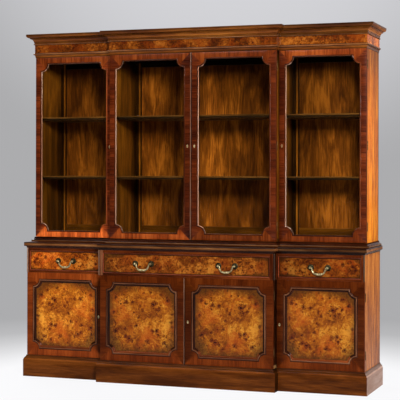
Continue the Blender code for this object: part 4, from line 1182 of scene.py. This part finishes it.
def dress_board(node, faces, lipping, along, slot, inner=None, painted_light=((), ()), inside=False):
    """A copy of a board's solid with softened edges.

    It has veneered faces, a lipping on its front edges, and inside the case the inner finish.
    The painted light and shade argument holds (share, lightness) points up the board and from
    its front to its back; the board is cut across at each of them, and a corner's lightness is
    the product of the two lines there. With inside they hold for the inner faces alone.
    """
    bm = bmesh.new()
    bm.from_mesh(frame["nodes"][node].data)
    bmesh.ops.remove_doubles(bm, verts=bm.verts, dist=MERGE)
    bmesh.ops.dissolve_limit(bm, angle_limit=FLAT, verts=bm.verts, edges=bm.edges)
    low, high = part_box(node)
    lines = []
    for axis, table in zip((Z, Y), painted_light):
        for share, _ in table[1:-1]:
            cut = [0, 0, 0]
            cut[axis] = low[axis] + share * (high[axis] - low[axis])
            parts = list(bm.verts) + list(bm.edges) + list(bm.faces)
            bmesh.ops.bisect_plane(bm, geom=parts, dist=MERGE, plane_co=cut, plane_no=np.eye(3)[axis])
        if table:
            lines.append((axis, *np.array(table).T))
    shell = Shell()
    for face in bm.faces:
        corners = np.array([vertex.co for vertex in face.verts])
        way = face.normal
        finish = 1 if way.y < -0.9 else 2 if way.x * corners[0, 0] < -0.1 else 0
        stain = np.ones(len(corners))
        for axis, shares, stains in lines if finish == 2 or not inside else ():
            place = (corners[:, axis] - low[axis]) / (high[axis] - low[axis])
            stain = stain * np.interp(place, shares, stains)
        looks = {"finish": finish, "stain": stain[None]}
        shell.add(corners, np.arange(len(corners))[None], along=along, seed=len(node), **looks)
    bm.free()
    soften_edges(shell.piece(f"{node}_board", "case", (faces, lipping, inner or faces), (node,), slot))


# The six faces of a box whose corners are counted along x, then y, then z
BOX_FACES = np.array(((0, 1, 3, 2), (4, 6, 7, 5), (0, 4, 5, 1), (2, 3, 7, 6), (0, 2, 6, 4), (1, 5, 7, 3)))


def solid_box(shell, low, high, **per_face):
    """Adds a closed box between two corners."""
    x, y, z = np.meshgrid(*zip(low, high), indexing="ij")
    shell.add(xyz(x, y, z).reshape(-1, 3), BOX_FACES, **per_face)


def build_shelf(node, slot):
    """A shelf with a small nosing: a round on top, then a quirk and a hollow under it."""
    low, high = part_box(node)
    deep, thick = high.y - low.y, high.z - low.z
    nosing = joined(
        arc((0.002, thick - 0.002), 0.002, 0.5, 1, 6), [(0, thick - 0.0075), (0.0015, thick - 0.008)]
    )
    hollow = eased([(0.0015, thick - 0.0085), (0.0024, thick * 0.45), (0.0016, thick * 0.2), (0.0016, 0)], 3)
    rim = joined([(deep, thick)], nosing, hollow, [(deep, 0)])
    points = xyz(np.array((low.x, high.x)), low.y + rim[:, :1], low.z + rim[:, 1:])
    # The hollow under the nosing in the shaded finish: painted shade
    finish = np.zeros((len(rim), 1), int)
    finish[1 + len(nosing):-2] = 1
    shell = Shell()
    shell.grid(points, wrap_rows=True, along=X, seed=len(node), finish=finish)
    for end in (0, 1):
        shell.add(points[:, end], np.arange(len(rim))[None], along=Y)
    shell.piece(f"{node}_board", "case", (SHELF_BOARD, SHADED_EDGE), (node,), slot)


# Painted light and shade on each bay's back, as how light it is: (share of its width, near its foot, near its
# head)
BACK_PAINTED_LIGHT = {
    "left": (
        (0, 1.5, 1.2), (0.4, 1.3, 1.0), (0.6, 1.3, 1.0), (0.8, 2.6, 2.2), (1, 4.5, 4.0),
    ),
    "centre": (
        (0, 1.4, 2.1), (0.10, 1.2, 1.9), (0.20, 1.0, 1.3), (0.32, 0.8, 1.2), (0.40, 1.0, 1.1),
        (0.47, 2.2, 2.0), (0.52, 2.4, 2.4), (0.55, 2.0, 1.5), (0.62, 1.7, 1.1), (0.75, 1.4, 0.85),
        (0.9, 2.0, 1.8), (1, 3.4, 3.4),
    ),
    "right": (
        (0, 1.1, 0.65), (0.3, 1.2, 0.8), (0.5, 1.6, 1.0), (0.62, 1.5, 1.0), (0.8, 1.3, 0.9), (1, 3.0, 2.0),
    ),
}
# Painted shade up the back: (height share, how light, share of the way from foot to head)
BACK_PAINTED_SHADE = (
    (0, 0.7, 0), (0.03, 0.9, 0), (0.10, 1, 0.10), (0.5, 1, 0.6), (0.90, 0.95, 1), (0.95, 0.6, 1), (1, 0.2, 1),
)
# A left stile's strips of painted shade, painted highlight and painted shade: (from share, to share, how
# light);
# and how light a right stile is, lightened as painted light
STILE_PAINTED_STRIPS = ((0.0, 0.55, 0.20), (0.55, 0.80, 1.9), (0.80, 1.0, 0.25))
PAINTED_LIT_STILE = 3.0


def build_back():
    """The framed back: sunk panels, stiles beside the walls striped with painted shade and highlight, and
    rails.

    The slab is a grid whose lightness is painted light and shade over each bay: at height
    share t it is the upward shade times (foot + (head - foot) * t).
    """
    low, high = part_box("upper_back")
    sunk = low.y + BACK_RECESS
    foot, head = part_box("upper_bottom")[1].z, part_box("upper_top")[0].z
    shell = Shell()
    table = [(low.x, 1.0, 1.0)]
    for number, bay in enumerate(BAYS):
        left, right = (corner.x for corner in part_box(f"shelf_low_{bay}"))
        table += [(left + share * (right - left), *light) for share, *light in BACK_PAINTED_LIGHT[bay]]
        stiles = [(left + a * BACK_STILE, left + b * BACK_STILE, stain) for a, b, stain in STILE_PAINTED_STRIPS]
        looks = {"finish": 1, "seed": number}
        # Left stiles in strips of painted shade and highlight; right stiles lightened as painted light
        for start, end, stain in stiles + [(right - BACK_STILE, right, PAINTED_LIT_STILE)]:
            solid_box(shell, (start, low.y, foot), (end, sunk, head), along=Z, stain=stain, **looks)
        # A foot rail a little darker, and a head rail near black: painted shadow under the top
        for z, tall, stain in ((foot, BACK_RAIL, 0.8), (head - BACK_HEAD, BACK_HEAD, 0.04)):
            near, far = (left + BACK_STILE, low.y, z), (right - BACK_STILE, sunk, z + tall)
            solid_box(shell, near, far, along=X, stain=stain, **looks)
    x, at_foot, at_head = np.array(table + [(high.x, 1.0, 1.0)]).T
    level, painted_light, share = np.array(BACK_PAINTED_SHADE).T[:, :, None]
    slab = xyz(x, sunk, low.z + level * (high.z - low.z))
    behind = slab + (0, high.y - sunk, 0)
    shell.grid(slab, along=Z, point_tone_and_light=painted_light * (at_foot + (at_head - at_foot) * share))
    shell.grid(behind, along=Z, finish=2)
    rims = [np.concatenate((p[0, :-1], p[:-1, -1], p[-1, :0:-1], p[:0:-1, 0])) for p in (slab, behind)]
    shell.grid(np.stack(rims), wrap_columns=True, along=Z, finish=2)
    finishes = (BACK_BOARD, INNER_BOARD, HIDDEN_BOARD)
    shell.piece("upper_back_frame", "case", finishes, ("upper_back",), "mahogany")


PANEL_BURL = burl("panel_burr", (0.20, 0.19), PANEL_KNOTS, PANEL_PATCHES, AMBER, OLIVE, 0.79, 0.3)
WING_BURL = burl(
    "wing_drawer_burr", (0.237, 0.055), WING_DRAWER_KNOTS, WING_DRAWER_PATCHES,
    FIERY, OLIVE, 0.90, 1.0, 1.2,
)
CENTRE_BURL = burl(
    "centre_drawer_burr", (0.512, 0.055), CENTRE_DRAWER_KNOTS, CENTRE_DRAWER_PATCHES,
    COPPER, OLIVE, 0.90, 1.0, 1.2,
)
FRIEZE_BURL = burl("frieze_burr", (1.0, 1.0), (), (), RUSSET, None, pepper=1.0)

# Doors, drawers and handles
for door_side in SIDES:
    meeting = MEETING_BEAD if door_side == "centre_right" else 0.0
    build_door(f"upper_door_{door_side}", door_side, GLAZED, meeting)
    build_door(f"lower_door_{door_side}", door_side, PANELLED, meeting)
for place_number, door_side in enumerate(SIDES):
    build_panel(door_side, place_number)
build_drawer_front("left", WING_BURL, 1, (1.25, 0.52))
build_drawer_front("centre", CENTRE_BURL, 1, (0.78, 0.66))
build_drawer_front("right", WING_BURL, -1, (0.30, 0.46))
build_handle("bail_left", "drawer_left")
build_handle("bail_centre_1", "drawer_centre")
build_handle("bail_centre_2", "drawer_centre")
build_handle("bail_right", "drawer_right")

# Mouldings round the cases
build_plinth()
build_base_top()
build_waist()
build_frieze()
build_cornice()

# Boards with softened edges, and the painted light and shade on the upper ones: (share, lightness) upwards,
# then towards the back
SIDE_PAINTED_SHADE = (
    ((0, 0.80), (0.06, 1.0), (0.30, 1.08), (0.62, 1.12), (0.85, 0.85), (0.95, 0.54), (1, 0.48)),
    ((0, 1.08), (0.50, 1.0), (0.70, 0.80), (0.90, 0.84), (1, 0.84)),
)
INNER_PAINTED_LIGHT = (
    ((0, 0.70), (0.30, 0.62), (0.52, 0.66), (0.66, 1.1), (0.80, 1.7), (0.92, 1.7), (0.97, 1.0), (1, 0.4)),
    ((0, 1.1), (0.80, 1.0), (0.90, 0.75), (1, 0.6)),
)
WALL_PAINTED_SHADE = (
    ((0, 1.0), (0.88, 1.0), (0.95, 0.5), (1, 0.2)),
    ((0, 1.35), (0.74, 1.35), (0.80, 0.95), (0.88, 0.55), (0.94, 0.30), (1, 0.20)),
)
for bay in BAYS:
    build_shelf(f"shelf_low_{bay}", "mahogany")
    build_shelf(f"shelf_high_{bay}", "mahogany")
    build_shelf(f"cupboard_shelf_{bay}", "oak")
    dress_board(f"drawer_rail_{bay}", SOLID, SOLID, X, "mahogany")
    dress_board(f"top_rail_{bay}", SOLID, SOLID, X, "mahogany")
for end in ("left", "right"):
    dress_board(f"base_side_{end}", LOW_SIDE_BOARD, SOLID, Z, "mahogany", INNER_BOARD)
    dress_board(f"upper_partition_{end}", INNER_BOARD, SOLID, Z, "mahogany", painted_light=WALL_PAINTED_SHADE)
dress_board("upper_side_left", SIDE_BOARD, SOLID, Z, "mahogany", INNER_BOARD, INNER_PAINTED_LIGHT, inside=True)
dress_board("upper_side_right", SIDE_BOARD, SOLID, Z, "mahogany", INNER_BOARD, SIDE_PAINTED_SHADE)
# The left partition made half as light again, its front edge in the pale finish: painted highlight
dress_board("base_partition_left", RETURN_WOOD, PAINTED_EDGE_HIGHLIGHT, Z, "mahogany", painted_light=(((0, 1.5), (1, 1.5)), ()))
dress_board("base_partition_right", RETURN_WOOD, SOLID, Z, "mahogany")
# The reeds' painted highlight, dimmed most on the right-hand ones
build_reed("base_side_left", -1, 0.45)
build_reed("base_partition_left", -1, 0.24)
build_reed("base_partition_right", 1, 0.05)
build_reed("base_side_right", 1, 0.08)
build_back()

# Finishes of the solids that stay
CARRIED = {
    "upper_bottom": FLOOR_BOARD,
    "upper_top": TOP_PAINTED_SHADE,
    "base_back": HIDDEN_BOARD,
    "base_bottom": LINING,
    "cornice_board": HIDDEN_BOARD,
}
CARRIED |= {f"drawer_box_{bay}": LINING for bay in BAYS}
CARRIED |= {f"glass_{side}": GLASS for side in SIDES}
for node, finish in CARRIED.items():
    frame["nodes"][node].material_slots[0].material = finish

# Camera, as worked out from the photograph's edges and heights
CAMERA_PLACE = (2.6193, -7.3153, 1.2376)
CAMERA_AZIMUTH = math.radians(19.6111)
CAMERA_ROLL = math.radians(0.1145)
FOCAL_PIXELS = 1296.43
HORIZON_PIXEL = 174.361
IMAGE_PIXELS = 400
SENSOR = 36.0

# Background: the floor's screen greys by metres from the middle, its glow to polish, and the backdrop
FLOOR_REACH = 5.0
FLOOR_GLOSS = 0.25
FLOOR_GREYS = ((1.30, 255), (1.50, 246), (1.80, 228), (2.20, 207), (2.70, 185), (3.66, 172))
HALO_WAY = (-0.30, 0.92, 0.24)
HALO = (0.962, 0.995)
BACKDROP = (tone(172, 172, 174), tone(212, 212, 216))
AMBIENT = 0.04
DIMMED_WAYS = (-0.25, 0.15)
DIMMED_SHARE = 0.96


def place_camera():
    lens = bpy.data.cameras.new("view")
    lens.sensor_width = SENSOR
    lens.lens = FOCAL_PIXELS * SENSOR / IMAGE_PIXELS
    lens.shift_y = (HORIZON_PIXEL - IMAGE_PIXELS / 2) / IMAGE_PIXELS
    camera = bpy.data.objects.new("view", lens)
    turn = Matrix.Rotation(CAMERA_AZIMUTH, 4, "Z") @ Matrix.Rotation(math.pi / 2, 4, "X")
    camera.matrix_world = Matrix.Translation(CAMERA_PLACE) @ turn @ Matrix.Rotation(CAMERA_ROLL, 4, "Z")
    bpy.context.scene.collection.objects.link(camera)
    bpy.context.scene.camera = camera


def place_lamp(name, place, aim, size, power):
    """A soft white rectangular lamp that faces a point."""
    lamp = bpy.data.lights.new(name, "AREA")
    lamp.shape = "RECTANGLE"
    lamp.size, lamp.size_y = size
    lamp.energy = power
    made = bpy.data.objects.new(name, lamp)
    made.location = place
    away = np.array(aim) - np.array(place)
    tilt = math.atan2(math.hypot(away[0], away[1]), -away[2])
    made.rotation_euler = (tilt, 0, math.atan2(away[1], away[0]) - math.pi / 2)
    bpy.context.scene.collection.objects.link(made)


def build_stage():
    """A flat round floor; its grain is metres from under the middle of the object."""
    turn = np.linspace(0, 2 * np.pi, 48, endpoint=False)
    radius = np.array((0, 1, 3, 8, 20, 60))[:, None]
    shell = Shell()
    shell.grid(xyz(radius * np.cos(turn), radius * np.sin(turn), 0), wrap_columns=True)
    floor = shell.piece("studio_floor", "case", (floor_paper(),))
    floor.parent = None


def by_eye(made, gloss=1.0):
    """1 where the camera looks straight on or through glass, and gloss where it looks by way of polish."""
    path = made.put("ShaderNodeLightPath", {})
    seen = made.math("MULTIPLY_ADD", path.outputs["Is Glossy Ray"], gloss, path.outputs["Is Camera Ray"])
    return made.math("MINIMUM", made.math("ADD", seen, path.outputs["Is Transmission Ray"]), 1.0)


def floor_paper():
    """Pale paper: white round the object, greying with distance, and a plain diffuse floor to the lamps."""
    made = Finish("studio_paper", roughness=1.0, base_color=(0.6, 0.6, 0.6, 1), specular_ior_level=0.0)
    away = made.vector("LENGTH", made.vector("MULTIPLY", made.place(), (1, 1, 0)), output="Value")
    stops = [(reach / FLOOR_REACH, tone(grey, grey, grey + 2)) for reach, grey in FLOOR_GREYS]
    colour = made.ramp(made.math("DIVIDE", away, FLOOR_REACH), *stops)
    glow = made.put("ShaderNodeEmission", {"Color": colour, "Strength": 1.0})
    share = made.math("MULTIPLY", by_eye(made, FLOOR_GLOSS), made.spread(away, 1.5, 4.0, 0.90, 1.0))
    made.show(share, made.shader, glow)
    return made.material


def set_world():
    """A pale grey backdrop to the eye, a little lighter high up, and a dim even light on the object.

    What polish shows of it is dimmed on the front side, by the y of the way it looks.
    """
    world = bpy.data.worlds.new("studio")
    bpy.context.scene.world = world
    world.use_nodes = True
    made = Wiring(world.node_tree)
    way = made.put("ShaderNodeTexCoord", {}).outputs["Generated"]
    near = made.vector("DOT_PRODUCT", way, HALO_WAY, output="Value")
    colour = made.ramp(made.spread(near, *HALO), (0.0, BACKDROP[0]), (1.0, BACKDROP[1]))
    front = made.spread(made.put("ShaderNodeSeparateXYZ", {0: way}).outputs[1], *DIMMED_WAYS)
    path = made.put("ShaderNodeLightPath", {})
    gloss = made.math("MULTIPLY", path.outputs["Is Glossy Ray"], made.math("SUBTRACT", 1.0, front))
    dimmed = made.math("SUBTRACT", 1.0, made.math("MULTIPLY", gloss, DIMMED_SHARE))
    strength = made.math("MULTIPLY", by_eye(made), dimmed)
    shade = made.tree.nodes["Background"]
    made.tree.links.new(colour, shade.inputs["Color"])
    made.tree.links.new(made.math("MAXIMUM", strength, AMBIENT), shade.inputs["Strength"])


place_camera()
build_stage()
set_world()
place_lamp("key", (2.8, -4.7, 3.0), (0, 0, 1.2), (1.2, 1.2), 270)
place_lamp("high_front", (-2.0, -4.4, 4.8), (0, 0, 0.9), (3.0, 1.4), 140)
place_lamp("right_side", (4.7, 0.1, 1.3), (1.0, 0.1, 1.2), (1.0, 1.2), 105)
place_lamp("rear_fill", (-3.6, 3.6, 3.2), (0, 0, 1.0), (3.0, 2.0), 270)
bpy.context.scene.view_settings.view_transform = "Standard"
